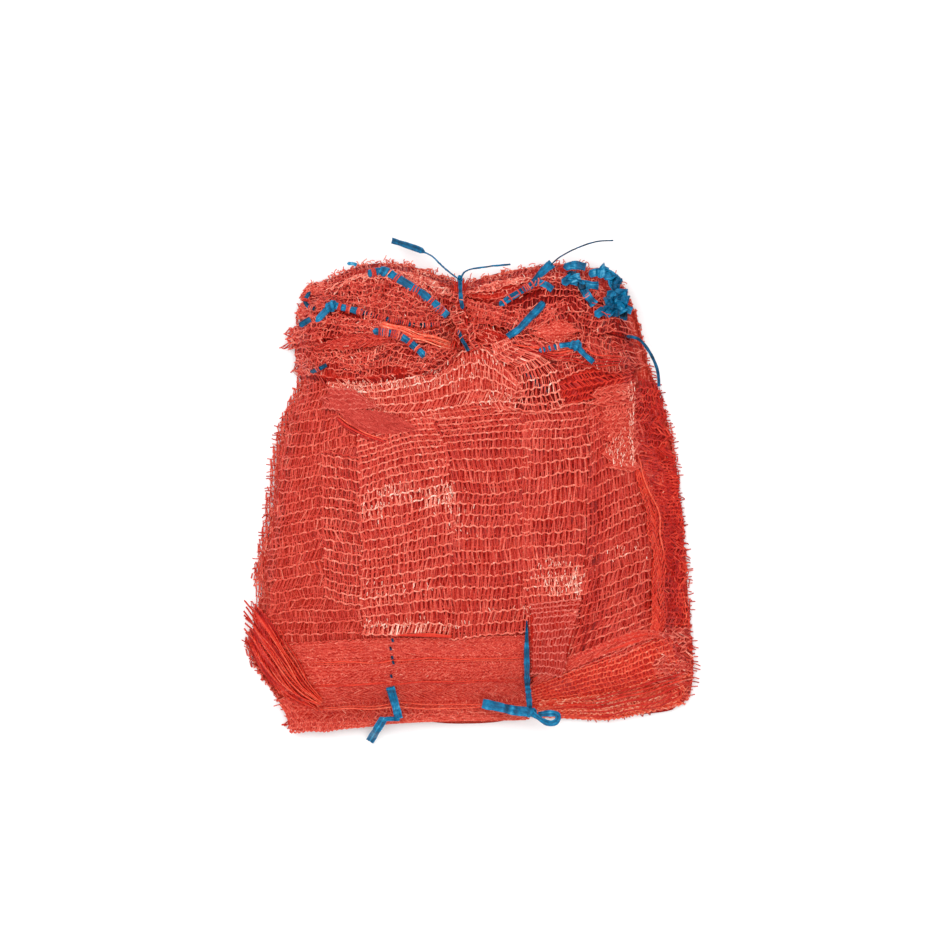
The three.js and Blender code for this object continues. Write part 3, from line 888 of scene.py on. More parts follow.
# The left panel's folded hem, the dull folded flap above it and the red crease under the flap
HEM = [
    [(-50, -102), (-38, -102.5), (-26, -103), (-12, -103.5)],
    [(-50, -101), (-38, -100), (-26, -100), (-12, -101.5)],
]
FLAP_TOP = [
    [(-102, 60), (-91, 58), (-77, 59), (-64, 60)],
    [(-102, 74), (-92, 73.5), (-82, 72), (-66, 62)],
]
FLAP = [
    [(-91, 56), (-84.4, 50.2), (-70.5, 43.7), (-55, 42), (-40, 44)],
    [(-91, 58), (-82, 58.8), (-70, 58.6), (-55, 55.5), (-39, 47.7)],
]
film("left_hem_film", laid(HEM, lift=4.0), (40, 4), 0.48, FOLDED_NET, "front_net", streaks=0.08, step=0.8)
panel("shoulder_flap_top", laid(FLAP_TOP, lift=3.4), (38, 13), [(0.4, 0.62)],
      dict(tone=0.36, material=HAZED_NET, step=1.0, span=(0.1, 0.86)),
      material=HAZED_NET, rise=0.1, rows=3.2, rungs=2.1, fray=4)
panel("shoulder_flap", laid(FLAP, lift=3.6), (54, 12), [(0.4, 0.48)],
      dict(tone=0.4, material=HAZED_NET, streaks=0.03, step=1.0, span=(0.12, 0.86)),
      material=HAZED_NET, rise=0.1, rows=2.2, rungs=1.7, fray=4)
folds("shoulder_crease", [(-95, 52), (-85, 44), (-76, 39), (-58, 33)],
      [(-93, 56), (-83, 48), (-74, 43), (-56, 38)], count=3, width=1.5, rise=0.5, tone=0.3, lift=0.0)

# The dense patch at the top of the right panel, the strip down its right side, the stack's edge beside
# that, and the pleated curtain above the panel
DENSE = [
    [(99, 18), (109, 17), (119, 16)],
    [(97, 46), (108, 46), (118, 46)],
    [(93, 74), (107, 77), (121, 78)],
]
# Painted highlights on the dense patch, brightest along its right edge
DENSE_PAINTED_LIGHT_SPOTS = [(118, 44, 2.5, 26, 0.6), (108, 26, 10, 8, 0.25)]
SIDE_STRIP = [
    [(118, 16), (127, -12), (130, -38), (132, -77), (130, -102)],
    [(125, 16), (136, -12), (139, -38), (141, -77), (138, -100)],
]
STACK = [
    [(137, -108), (147, -108), (158, -112)],
    [(139, -77), (148, -77), (158, -77)],
    [(137, -38), (146, -38), (156, -38)],
    [(134, -12), (145, -12), (154, -12)],
    [(124, 12), (139, 10), (151, 9)],
    [(118, 34), (133, 32), (147, 30)],
    [(119, 76), (130, 75), (139, 72)],
]
CURTAIN = [
    [(62, 62), (90, 68), (120, 80)],
    [(62, 80), (90, 84), (122, 89)],
    [(62, 98), (90, 98), (124, 96)],
]
dense = laid(DENSE, lift=2.4, pleats=2, depth=0.5)
panel("dense_patch", dense, (24, 60), [(0.38, 0.44), (0.48, 0.56)], slot="front_net", rows=3.4, rungs=2.0,
      fray=3)
glints("dense_patch_glints", raised(dense, 1.2), 1600, DENSE_PAINTED_LIGHT_SPOTS, gain=0.9)
panel("right_strip", laid(SIDE_STRIP, lift=2.4, pleats=1.5, depth=0.6, swell=0.6), (120, 9),
      [(0.36, 0.42), (0.46, 0.54)], slot="front_net", material=FOLDED_NET, rows=2.6, rungs=2.4, fray=3,
      crumple=0.4)
folds("right_strip_edge", [(121, 26), (128, 4), (136, -20), (140, -46)],
      [(122, 26), (129, 4), (137, -20), (141, -46)], count=1, width=1.2, rise=0.8, tone=0.52)
# The right stack's spots paint shade into its fold and light onto its rim
panel("right_stack", laid(STACK, lift=0.8, swell=0.8), (20, 190), [(0.18, 0.24), (0.29, 0.42)],
      dict(tone=0.16, step=1.5, span=(0, 0.8)), material=FOLDED_NET, rows=3.6, rungs=2.3, fray=1.6, waver=1.6,
      mottle=0.16, crumple=0.6, keep=on_stack, painted_light_spots=[(143, -72, 5, 42, -0.5), (157, -72, 4, 44, 0.4)])
panel("shoulder_curtain", laid(CURTAIN, lift=1.6, pleats=3, depth=0.6), (56, 32), [(0.28, 0.44)],
      dict(tone=0.08, streaks=0.05, ridge=0.08, step=1.0, span=(0.03, 0.97)),
      material=FOLDED_NET, rise=0.2, rows=4.4, rungs=2.2, fray=3, mottle=0.12, keep=on_front)

# The gathered foot of the bundle: the band, the fan on the right with the corner tab over it, and the
# fan on the left
BAND = [
    [(-130, -168), (-64, -163), (0, -161), (44, -160)],
    [(-131, -134), (-60, -130), (0, -130), (43, -128)],
    [(-126, -108), (-60, -104), (0, -104), (42, -101)],
]
BAND_LINES = (-121, -137, -154)
WEB = [
    [(46, -152), (100, -143), (154, -128)],
    [(46, -139), (98, -120), (146, -103)],
]
STRIP = [
    [(46, -138), (70, -127), (96, -115), (124, -106), (142, -103)],
    [(46, -133), (70, -119), (95, -107.5), (121, -99), (142, -101)],
]
FAN_LOW = [
    [(46, -161), (84, -163), (116, -160), (153, -152)],
    [(46, -151), (84, -146), (120, -138), (157, -124)],
]
FAN_EDGE = [
    [(126, -160), (142, -158), (154, -154)],
    [(134, -128), (148, -128), (162, -130)],
    [(140, -98), (150, -98), (161, -98)],
]
CORNER_TAB = [
    [(46, -130, 1.6), (56, -129, 1.6), (67, -131, 1.6)],
    [(45, -112, 0.8), (58, -111, 0.8), (72, -110, 0.8)],
    [(44, -92), (60, -91), (77, -90)],
    [(44, -79), (61, -78), (80, -76)],
]
FAN_LEFT = [
    [(-157, -112), (-149, -128), (-132, -146), (-112, -155)],
    [(-157, -96), (-145, -114), (-128, -136), (-109, -153)],
    [(-156, -77), (-142, -92), (-124, -120), (-106, -150)],
]
panel("gathered_band", laid(BAND, lift=1.2, pleats=5, depth=0.35, swell=0.4), (165, 62), [(0.44, 0.49)],
      dict(tone=0.36, weave=0.06, streaks=0.03, ridge=0.04, step=1.0),
      rise=0.2, rows=2.5, rungs=1.8, fray=3, mottle=0.1)
for number, level in enumerate(BAND_LINES):
    folds(f"gathered_band_line_{number + 1}", [(-112, level - 2), (-40, level), (42, level + 1)],
          [(-112, level), (-40, level + 2), (42, level + 4)], count=2, width=0.8, rise=0.4, tone=0.5,
          lift=0.0)
# The spots of the fans paint highlights
panel("fan_right", laid(WEB, lift=1.6), (112, 30), [(0.34, 0.4), (0.42, 0.62)],
      dict(tone=0.28, material=FOLDED_NET), material=FOLDED_NET, rows=5.0, rungs=2.7,
      painted_light_spots=[(125, -118, 22, 8, 0.3), (90, -128, 20, 5, 0.2)])
panel("fan_right_strip", laid(STRIP, lift=3.0, pleats=1.5, depth=0.5), (100, 8), [(0.44, 0.5)],
      dict(tone=0.42, material=FOLDED_NET, streaks=0.03, ridge=0.08, step=0.8),
      rise=0.1, rows=2.4, rungs=2.2, fray=4)
panel("fan_right_low", laid(FAN_LOW, lift=1.6, pleats=3.5, depth=1.0), (112, 20),
      [(0.42, 0.48), (0.58, 0.76)], dict(tone=0.36, ridge=0.14, step=0.8), material=FOLDED_NET,
      rows=2.4, rungs=2.0, crumple=0.4, fray=3, painted_light_spots=[(100, -152, 40, 8, 0.4)])
# The creases' low tone is painted shade, in the valleys between the pleats
folds("fan_right_creases", [(46, -159), (84, -161), (122, -157), (154, -146)],
      [(46, -150), (84, -146), (120, -138), (156, -126)], count=6, width=1.0, rise=0.5, tone=0.3, wander=1.6,
      ends=(0.4, 0.7), late=0.3)
panel("fan_right_edge", laid(FAN_EDGE, lift=1.4, pleats=2, depth=0.8, swell=0.8), (24, 62),
      [(0.36, 0.42), (0.44, 0.6)], dict(tone=0.16, step=1.5, span=(0, 0.7)),
      rows=3.2, rungs=2.2, fray=2.5, crumple=0.7, mottle=0.16, keep=on_stack)
panel("corner_tab", laid(CORNER_TAB, lift=3.2), (30, 54), [(0.46, 0.66)], dict(tone=0.2, step=1.5),
      slot="front_net", material=HAZED_NET, rows=4.8, rungs=2.3, fray=0.6)
fan_left = laid(FAN_LEFT, lift=1.8, pleats=4.5, depth=2.0)
panel("fan_left", fan_left, (80, 30), [(0.26, 0.34)],
      dict(tone=0.24, material=FOLDED_NET, streaks=0.05, ridge=0.28, step=0.7, span=(0.08, 1)),
      material=FOLDED_NET, rise=0.1, rows=2.8, rungs=2.4, rung=0.5, mottle=0.14, fray=5, threads=1,
      ridge=0.26, fold=fan_left.fold)
folds("fan_left_ridges", [(-156, -108), (-146, -122), (-132, -138), (-118, -148), (-106, -153)],
      [(-147, -79), (-134, -96), (-126, -113), (-117, -133), (-103, -149)], count=12, width=0.9, rise=1.4,
      tone=0.48, wander=2.4, lift=0.4, ends=(0.4, 0.5), late=0.45)


def fan_fingers(count=10, length=24):
    """The folds' free ends at the left outline: bent threads side by side that run in under the fan."""
    y = np.linspace(-75, -104, count) + 0.5 * draw.normal(size=count)
    x = -163 + 1.2 * draw.normal(size=count)
    starts = np.stack([x, y, 0.8 * front(x + 16, y - 18)], -1)
    heading = -0.85 + 0.08 * draw.normal(size=count)
    bend = 0.12 * draw.normal(size=count)
    return strands("fan_left_fingers", starts, heading, length + 0 * y, bend, radius=0.62, tone=0.34, steps=6)


fan_fingers()

# The gathered mouths: crumpled rolls on both sides of the neck, each between two guide lines

EAR_LEFT = [
    [(-124, 82), (-104, 77.4), (-79, 75), (-54, 77), (-29, 84), (-5, 100)],
    [(-124, 112), (-104, 106), (-82, 106), (-62, 109), (-41, 106), (-21, 108)],
    [(-118, 134), (-95, 133.5), (-76, 128.5), (-54, 123.5), (-33.5, 120), (-16, 122)],
    [(-116, 144), (-101, 145), (-82, 145), (-62, 142), (-38, 135), (-15, 126)],
    [(-115, 147), (-97, 154.5), (-74, 164), (-52, 164), (-30, 158), (-7, 151.5)],
]
EAR_RIGHT = [
    [(1, 110), (19, 101), (37, 98.3), (58.7, 94), (80.3, 91.8), (101.9, 89.6), (130.7, 86.8)],
    [(0, 125.6), (15.5, 120.6), (31.3, 113.4), (51.5, 111.2), (73, 117), (94.7, 113.4), (123.5, 106.2)],
    [(-2, 138.6), (15.5, 135), (33.5, 138.6), (51.5, 145.8), (73, 145.8), (94.7, 138.6), (116.3, 130)],
    [(-2, 151), (15.5, 154.5), (33.5, 159), (55, 163.5), (76.7, 162.5), (98.3, 157.5), (114, 145.5)],
]
EAR_LUMPS = [
    [[(-120, 139), (-112, 141), (-103, 142)], [(-118, 147), (-111, 150), (-103, 150)]],
    [[(-125, 126), (-115, 126), (-103, 128)], [(-122, 136), (-113, 137), (-103, 137)]],
    [[(-131, 104), (-118, 104), (-103, 106)], [(-128, 118), (-117, 120), (-105, 121)]],
    [[(-126, 84), (-114, 85), (-102, 87)], [(-126, 99), (-114, 101), (-102, 102)]],
]
EAR_LEFT_LOW = [
    [(-106, 102), (-90, 102), (-76, 104), (-60, 107)],
    [(-104, 106), (-90, 109), (-76, 112), (-60, 112)],
]
PILLOW = [[(47, 112), (62, 108), (77, 112)], [(48, 119), (62, 123), (76, 120)]]
EAR_SCALE = 0.85  # of the threads there, as a share of the usual size

for ear, guides, span in (("left", EAR_LEFT, (0.03, 1)), ("right", EAR_RIGHT, (0, 0.96))):
    rolls = list(zip(guides, guides[1:]))
    for number, (low, high) in enumerate(rolls):
        # The middle rolls get a darker film and more shade at their edges: painted shade in the creases
        # between rolls
        deep = 0 < number < len(rolls) - 1
        sheet = laid(roll(low, high, 4.5), lift=0.6, pleats=2.5, depth=0.8, swell=0.6)
        panel(f"ear_{ear}_{number + 1}", sheet, (115, 26), [(0.42, 0.6)],
              dict(tone=0.02 if deep else 0.18, streaks=0.05, shade=0.1, ridge=0.08, step=1.2, span=span),
              rise=0.5, rows=5.4, rungs=2.8, crumple=0.6, fray=2.0, mottle=0.18,
              shade=0.36 if deep else 0.1, scale=EAR_SCALE)
    for number, (low, high) in enumerate(rolls):
        scraps(f"ear_{ear}_{number + 1}_scraps", low, high, count=8, size=34, tone=0.34, chain=0.53,
               turn=0.14, rise=1.8, mottle=0.2, scale=EAR_SCALE, rows=4.4, rungs=2.5)
    rim = 0.4 * np.array(guides[-2]) + 0.6 * np.array(guides[-1])
    scraps(f"ear_{ear}_rim_scraps", rim, guides[-1], count=24, size=22, tone=0.54, chain=0.72, turn=0.2,
           rise=1.5, mottle=0.16, scale=EAR_SCALE, rows=4.2, rungs=2.5)
for number, (low, high) in enumerate(EAR_LUMPS):
    lump = laid(roll(low, high, 3.5), lift=2.5, pleats=1.5, depth=0.6)
    panel(f"ear_left_lump_{number + 1}", lump, (24, 14), [(0.4, 0.5), (0.46, 0.6)],
          dict(tone=0.14, step=1.0, span=(0.16, 1)), rows=3.8, rungs=2.6, fray=1.6, crumple=0.5, mottle=0.14)
folds("ear_left_bright_folds", [(-64, 117), (-46, 111), (-30, 106), (-12, 102)],
      [(-62, 122), (-46, 118), (-30, 114), (-12, 108)], count=8, width=1.0, rise=0.9, tone=0.64)
panel("ear_left_low", laid(EAR_LEFT_LOW, lift=0.4, pleats=1.5, depth=0.6, over=ground_now()), (46, 8),
      [(0.26, 0.32), (0.38, 0.46)], rows=2.6, rungs=2.0, fray=4)
folds("ear_right_folds", [(30, 101), (70, 94), (112, 90)], [(30, 106), (70, 100), (112, 97)],
      count=4, width=1.4, rise=0.7, tone=0.28, wander=2.5)
# The gather folds' low tone is painted shade, in the creases of the neck
folds("neck_gather_folds", [(-14, 102), (-11, 114), (-9, 125), (-9, 140), (-12, 154)],
      [(6, 103), (1, 114), (-2, 125), (-3, 140), (2, 154)], count=8, width=1.1, rise=1.0, tone=0.26,
      ends=(0.6, 0.5))
scraps("neck_scraps", [(-16, 104), (-13, 125), (-14, 150)], [(8, 105), (3, 125), (3, 150)], count=9, size=16,
       tone=0.36, chain=0.52, turn=0.5, rows=4.4, rungs=2.6, mottle=0.16)
panel("ear_right_pillow", laid(roll(*PILLOW, 3), lift=5), (32, 13), [(0.47, 0.57)],
      dict(tone=0.34, step=1.0, span=(0.1, 0.9)), rows=2.3, rungs=1.9, fray=3)

# The open band: one stretched layer with dark holes, down from the neck over the shoulder
OPEN = [
    [(26, 59.5), (48, 58.5), (70, 64)],
    [(33, 70.5), (48, 75), (64, 80.5)],
    [(32, 86.5), (42.5, 90.5), (54, 94)],
    [(20.5, 95), (28.5, 99), (36, 103)],
    [(15.5, 104), (21, 107), (27.5, 110)],
]
# Its dark film is painted shade for the deep holes, and its spots paint highlights
panel("open_band", laid(OPEN, lift=0.6, over=blurred(ground_now(), 2)), (30, 56), [(0.5, 0.68)],
      dict(tone=0.0, weave=0.08, span=(0.16, 0.92)), rise=1.4, rows=5.2, rungs=2.7, mottle=0.16, waver=1.2,
      crumple=0.3, painted_light_spots=[(60, 80, 6, 14, 0.3), (48, 78, 8, 6, 0.4)])

# Loose threads, row ends and the folded edge of the foot


def frayed_line(name, guide, count=110, spread=0.8):
    """Loops and loose ends that stand up along a guide line at the top of the gathered mouths."""
    x, y = curve_through(guide, draw.random(count)).T
    aside = y + spread * draw.normal(size=count)
    starts = np.stack([x, aside, front(x, y - 4) + draw.uniform(2, 7, count)], -1)
    heading = draw.uniform(-np.pi, np.pi, count)
    length = draw.uniform(3, 6, count)
    bend = 3 * draw.normal(size=count)
    return strands(name, starts, heading, length, bend, radius=0.32, tone=0.66, steps=8)


def loose_threads(name, low, high, count=90, length=8):
    """Fine loose threads that lie along the guides, on top of what is there."""
    ground = ground_now()
    u, v = draw.random((2, count))
    start, ahead = (
        curve_through(low, w) * (1 - v)[:, None] + curve_through(high, w) * v[:, None] for w in (u, u + 0.02)
    )
    heading = np.arctan2(*(ahead - start).T[::-1]) + 0.35 * draw.normal(size=count)
    x, y = start.T
    starts = np.column_stack([start, height_at(ground, x, y) + draw.uniform(0.5, 2, count)])
    size = length * draw.uniform(0.4, 1.4, count)
    kept = on_front(x + size * np.cos(heading), y + size * np.sin(heading), -2)
    bend = 0.8 * draw.normal(size=kept.sum())
    return strands(name, starts[kept], heading[kept], size[kept], bend, radius=0.3, tone=0.6, steps=8)


def teeth(name, begin, end, spacing, heading, length, tone, inset):
    """Row ends that stick out past the rim: single threads at even steps from one angle to another, which
    start a little way in from the edge of the sacks, at any height up to the front's."""
    count = int(abs(end - begin) * MEAN_RADIUS / spacing)
    turn = begin + (end - begin) * (np.arange(count) + draw.uniform(0.25, 0.75, count)) / count
    r = rim_radius(turn) - inset
    x, y = r * np.cos(turn), r * np.sin(turn)
    starts = np.stack([x, y, np.maximum(1.5, front(x, y) * draw.uniform(0.3, 0.95, count))], -1)
    heading = heading + 0.16 * draw.normal(size=count)
    length = length * draw.uniform(0.5, 1.1, count)
    bend = 0.3 * draw.normal(size=count)
    return strands(name, starts, heading, length, bend, radius=0.38, tone=tone, steps=4)


frayed_line("ear_left_fray", EAR_LEFT[-1])
frayed_line("ear_right_fray", EAR_RIGHT[-1])
loose_threads("ear_left_threads", EAR_LEFT[0], EAR_LEFT[-1])
loose_threads("ear_right_threads", EAR_RIGHT[0], EAR_RIGHT[-1])
for name, begin, end, spacing, heading, length, tone, inset in [
    ("left_rim_teeth", 2.7, 3.5, 3.4, math.pi, 7, 0.44, 5),
    ("left_comb_teeth", 3.74, 3.94, 3.2, math.pi - 0.6, 9, 0.36, 6),
    ("left_corner_teeth", 3.95, 4.08, 3.0, math.pi, 9, 0.42, 5.5),
    ("right_rim_teeth", -0.66, 0.66, 2.2, 0, 6.5, 0.42, 4.5),
    ("fan_right_teeth", -0.88, -0.6, 2.2, -0.1, 8, 0.46, 5.5),
    ("foot_right_teeth", -1.3, -0.84, 2.0, -1.1, 5, 0.46, 3),
]:
    teeth(name, begin, end, spacing, heading, length, tone, inset)
FOOT_EDGE = [
    [(-129, -171), (-110, -171), (-90, -169.5), (-60, -166), (-20, -164), (40, -163)],
    [(-130, -163), (-110, -163), (-90, -163), (-60, -163), (-20, -163), (40, -162)],
    [(-136, -152), (-116, -150), (-90, -150), (-60, -152), (-20, -156), (40, -158)],
]
FOOT_EDGE_HEIGHT = 9
panel("foot_corner", laid(FOOT_EDGE, over=np.full_like(FRONT, FOOT_EDGE_HEIGHT)), (170, 18),
      [(0.42, 0.48), (0.46, 0.56)], dict(tone=0.36, span=(0.02, 1), step=1.5), rows=3.6, rungs=2.6, fray=2.0)

# The blue tapes. Their tones paint light and shade on one and the same tape: darker where it lies low
# or under the net, paler where it catches the light.

TAPE_GROUND = ground_now()
TAPE_STEP = 1.2  # from one section to the next
TAPE_SECTION = 9  # points across it
TAPE_ROCK = 0.25  # how far it rocks about its own length, as an angle
ROCK_LENGTH = 18
CURL_LENGTH = 14
EDGE_LENGTH = 9  # of the waves in its edges
STREAK_LENGTH = 6
CREASE = 0.12
TAPER_TIP = 0.2  # width at the tip of a tape, as a share
THREAD_GAP = 0.65  # from thread to thread in a group over a tape
THREAD_OVERHANG = 1.0  # how far they reach past its edges
KNOT_SIZE = (4.4, 3.6, 2.8)  # half its length, width and height
KNOT_GRID = (12, 18)
KNOT_TURNS = (5, 2)  # of its folds, along it and round it
TAPE_STREAKS = (0.1, 0.05, 0.14)  # tones along a tape, at random and in slow waves
OVER_RISE = 1.0  # of a thread over the middle of a tape
OVER_DIP = 1.7  # and how far its ends lie below that
OVER_HALF = (0.5, 0.25)  # half of its width and thickness


def ribbon(name, route, width=TAPE_WIDTH, edgeways=0.0, lift=1.5, node_name=None, curl=0.5, arch=0.0,
           tone=0.5, taper=0.0):
    """A flat tape: points (x, y, lift above the net) joined by a smooth curve, and across it a thin closed
    section that curls as the square of the way from the middle and creases at random. Taper is the share
    of its length over which it widens from its tip. Returns its middle line, the ways across and up, the
    distance along and the width, for threads that run over it."""
    route = np.array([(*p, 0)[:3] for p in route], float)
    length = np.linalg.norm(np.diff(route[:, :2], axis=0), axis=1).sum()
    share = np.linspace(0, 1, max(8, int(length / TAPE_STEP)))
    x, y, rise = curve_through(route, share).T
    rise = rise + arch * np.sin(np.pi * share)
    middle = np.stack([x, y, height_at(TAPE_GROUND, x, y) + rise + lift], -1)
    for _ in range(2):
        middle[1:-1] = (middle[:-2] + 2 * middle[1:-1] + middle[2:]) / 4
    ahead = unit(np.gradient(middle, axis=0))
    side = unit(np.cross((0, 0, 1), ahead))
    face = np.cross(ahead, side)
    far = share * length
    rock = edgeways * np.pi / 2 + TAPE_ROCK * uneven_along(ROCK_LENGTH, far)[:, None]
    side, face = turned(side, face, rock)
    across = np.linspace(1, -1, TAPE_SECTION)
    bend = curl * (across**2 - 0.5)[None] * (0.4 + 0.6 * uneven_along(CURL_LENGTH, far)[:, None])
    bend = bend + CREASE * draw.normal(size=bend.shape)
    tip = np.clip(TAPER_TIP + (1 - TAPER_TIP) * share / max(taper, 1e-6), 0, 1)
    half = 0.5 * width * (1 + 0.08 * uneven_along(EDGE_LENGTH, far)) * tip
    flat = middle[:, None] + half[:, None, None] * across[None, :, None] * side[:, None]
    flat = flat + bend[..., None] * face[:, None]
    top, bottom = (flat + sign * 0.5 * TAPE_THICK * face[:, None] for sign in (1, -1))
    streak = tone + TAPE_STREAKS[0] * draw.normal(size=TAPE_SECTION)[None]
    streak = streak + TAPE_STREAKS[1] * draw.normal(size=bend.shape)
    streak = streak + TAPE_STREAKS[2] * uneven_along(STREAK_LENGTH, far)[:, None]
    tones = np.concatenate([streak, streak[:, ::-1]], 1)
    piece = loft(name, [(np.concatenate([top, bottom[:, ::-1]], 1)[None], tones[None])], TAPE)
    if node_name:
        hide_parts(node_name)
    LAID.append(flat.reshape(-1, 3))
    return middle, side, face, far, width


def bridge(name, run, spacing=9.5, threads=4, span=(0, 1)):
    """Net threads that hold a tape down: groups of thin threads across it at even steps, each one bowed
    over the tape as the fourth power of the way from its middle."""
    middle, side, face, far, width = run
    groups = np.arange(span[0] * far[-1] + 0.6 * spacing, span[1] * far[-1] - 2, spacing)
    groups = groups + 0.8 * draw.normal(size=groups.shape)
    at = groups[:, None] + (np.arange(threads) - (threads - 1) / 2) * THREAD_GAP
    at = at + 0.15 * draw.normal(size=(len(groups), threads))
    pick = np.clip(np.searchsorted(far, at.ravel()), 0, len(far) - 1)
    half = 0.5 * width + THREAD_OVERHANG
    reach = np.linspace(-1, 1, 5)[None, :, None] * half
    slip = 0.2 * draw.normal(size=(len(pick), 5, 1))
    ahead = np.cross(side[pick], face[pick])[:, None]
    line = middle[pick][:, None] + reach * side[pick][:, None] + slip * ahead
    line = line + (OVER_RISE - OVER_DIP * (reach / half) ** 4) * face[pick][:, None]
    over = OVER_HALF[1] * face[pick][:, None] + 0 * line
    rings = bars(line, OVER_HALF[0] * ahead + 0 * line, over, DIAMOND[::-1])
    return loft(name, [(rings, 0.42 + 0.14 * draw.normal(size=(len(pick), 1, 1)))], NET)


def knot(name, x, y, turn=0.0, size=1.0, lift=2.0):
    """A lump of tape: an egg with folds that run round it, dented at random."""
    theta = np.linspace(0.05, np.pi - 0.05, KNOT_GRID[0])[:, None]
    phi = np.linspace(0, TURN, KNOT_GRID[1], endpoint=False)[None]
    winding = np.cos(KNOT_TURNS[0] * theta + KNOT_TURNS[1] * phi)
    dent = 1 + 0.14 * winding + 0.06 * draw.normal(size=KNOT_GRID)
    long = KNOT_SIZE[0] * size * np.cos(theta) * dent
    wide = KNOT_SIZE[1] * size * np.sin(theta) * np.cos(phi) * dent
    high = KNOT_SIZE[2] * size * np.sin(theta) * np.sin(phi) * dent
    c, s = math.cos(turn), math.sin(turn)
    z = height_at(TAPE_GROUND, np.array([x]), np.array([y]))[0] + lift
    ring = np.stack([x - c * long - s * wide, y - s * long + c * wide, z + high], -1)
    # Painted light on the crests of its folds and painted shade in the grooves
    tones = 0.5 + 0.2 * winding + 0.08 * draw.normal(size=KNOT_GRID)
    return loft(name, [(ring[None], tones[None])], TAPE)


ribbon("neck_tie_run", [(-4, 131), (-5.5, 140), (-6, 151, 2)], 0.75 * TIE_WIDTH, node_name="neck_tie",
       tone=0.38)
ribbon("neck_tie_foot", [(-7, 116), (-5, 110), (-2, 105), (0, 101)], 0.7 * TIE_WIDTH, tone=0.25)
ribbon("neck_tie_left_thread", [(-6, 152, 3), (-14, 158, 6), (-20, 163, 11), (-26, 169, 14), (-33, 173, 14)],
       0.7 * TAIL_WIDTH, edgeways=0.5, tone=0.55)
ribbon("neck_tie_left_end", [(-31, 172, 14), (-36, 174.5, 13.5), (-46, 178, 12), (-55, 181, 9)],
       1.1 * TIE_WIDTH, tone=0.42, taper=0.2)
ribbon("neck_tie_right_end", [(-6, 153, 3), (-1, 159, 7), (14, 161.5, 13), (30, 163, 16)], 0.7 * TAIL_WIDTH,
       edgeways=0.5, tone=0.4)
knot("neck_knot", -6, 153, turn=math.pi / 2, size=0.55)
ribbon("bottom_tie_left_run", [
    (-55, -107, -5), (-55, -124, -5), (-56, -137, -5), (-55.4, -141), (-53, -150), (-51, -157), (-50, -162),
], node_name="bottom_tie_left", tone=0.56)
ribbon("bottom_tie_left_twist", [(-49, -163, 1), (-55, -162, 2.5), (-62, -162.5, 2)], 0.85 * TIE_WIDTH,
       edgeways=0.4)
ribbon("bottom_tie_left_end", [(-60, -161, 2), (-64, -167, 2.5), (-67.5, -173, 2), (-71, -179, 1)], tone=0.54)
LEFT_DASHES = [(-54, -105), (-55.4, -111), (-54.4, -117.5), (-53.6, -121), (-55, -131)]
for number, (x, y) in enumerate(LEFT_DASHES):
    ribbon(f"bottom_tie_left_dash_{number + 1}", [(x - 0.4, y + 1.3), (x + 0.4, y - 1.3)], 0.8 * TAIL_WIDTH,
           lift=0.5, tone=0.15)
ribbon("bottom_tie_right_run", [(41.5, -91), (41.5, -113), (42, -135), (43, -144), (44, -157, 2)], TIE_WIDTH,
       node_name="bottom_tie_right", tone=0.4, taper=0.25)
ribbon("bottom_tie_right_end", [(44, -157, 2), (33, -156, 3), (22, -153.5, 2), (10, -151, 1.5)], 7)
ribbon("bottom_tie_right_loop", [
    (44, -157, 2), (50, -161, 4), (57, -165, 4), (63, -164, 4), (64, -159, 4), (58, -158, 3), (50, -159, 2),
], 1.1 * TIE_WIDTH, edgeways=0.15)
knot("bottom_knot_right", 44, -157)

# The draw tapes: route, width and tone. COVERS gives the closer threads that lie over some of them.
DRAW_TAPES = {
    "draw_tape_ear_top": ([(-72, 156), (-60, 158), (-52, 154), (-31, 140), (-15, 126)], TAPE_WIDTH, 0.52),
    "draw_tape_ear_front": (
        [(-109, 122), (-98, 133), (-92, 132.5), (-87, 131.5), (-81, 130), (-75, 128.5)], 4.8, 0.48,
    ),
    "draw_tape_ear_edge": ([(-113, 144), (-117, 138), (-115, 133.5), (-110, 131.5)], 3, 0.22),
    "draw_tape_ear_low": ([(-68, 115), (-55, 113.5), (-46, 110), (-38, 104), (-31, 97)], 4.8, 0.42),
    "draw_tape_cheek": ([(-113, 86), (-107, 88), (-101, 91)], 3, 0.25),
    "draw_tape_right_tail": ([(54, 136), (49, 130), (43, 124), (36, 116.5), (28, 111)], 5.2, 0.52),
    "draw_tape_right_knot": ([(50, 101), (59, 103), (68, 105), (76, 105), (82, 99), (89, 93)], 3.8, 0.52),
    "draw_tape_right_edge": (
        [(113, 112), (122, 110), (129, 102), (134, 92), (136, 84), (136.5, 76)], 2.2, 0.32,
    ),
    "draw_tape_right_cross": (
        [(22, 133.5), (33, 141), (43, 147), (49, 150), (55, 148.5), (60, 145)], 4.8, 0.45,
    ),
}
COVERS = {
    "draw_tape_ear_low": dict(spacing=1.6, threads=1, span=(0, 0.5)),
    "draw_tape_right_cross": dict(spacing=3.8, threads=2, span=(0, 0.62)),
    "draw_tape_right_knot": dict(spacing=3.6, threads=2, span=(0, 0.4)),
}
for name, (route, width, tone) in DRAW_TAPES.items():
    run = ribbon(f"{name}_ribbon", route, width, node_name=name, tone=tone)
    if "right" not in name:
        bridge(f"{name}_threads", run)
    if name in COVERS:
        bridge(f"{name}_cover", run, **COVERS[name])
run = ribbon("draw_tape_ear_front_rest", [(-76, 128.5), (-60, 124), (-38, 119.5), (-20, 120)], 3.2,
             lift=0.6, tone=0.1)
bridge("draw_tape_ear_front_rest_cover", run, spacing=1.9, threads=2)
ribbon("draw_tape_right_rise", [(39, 144), (48, 153), (55, 160), (60, 164)], 6.4, lift=1.6, tone=0.42,
       taper=0.7)
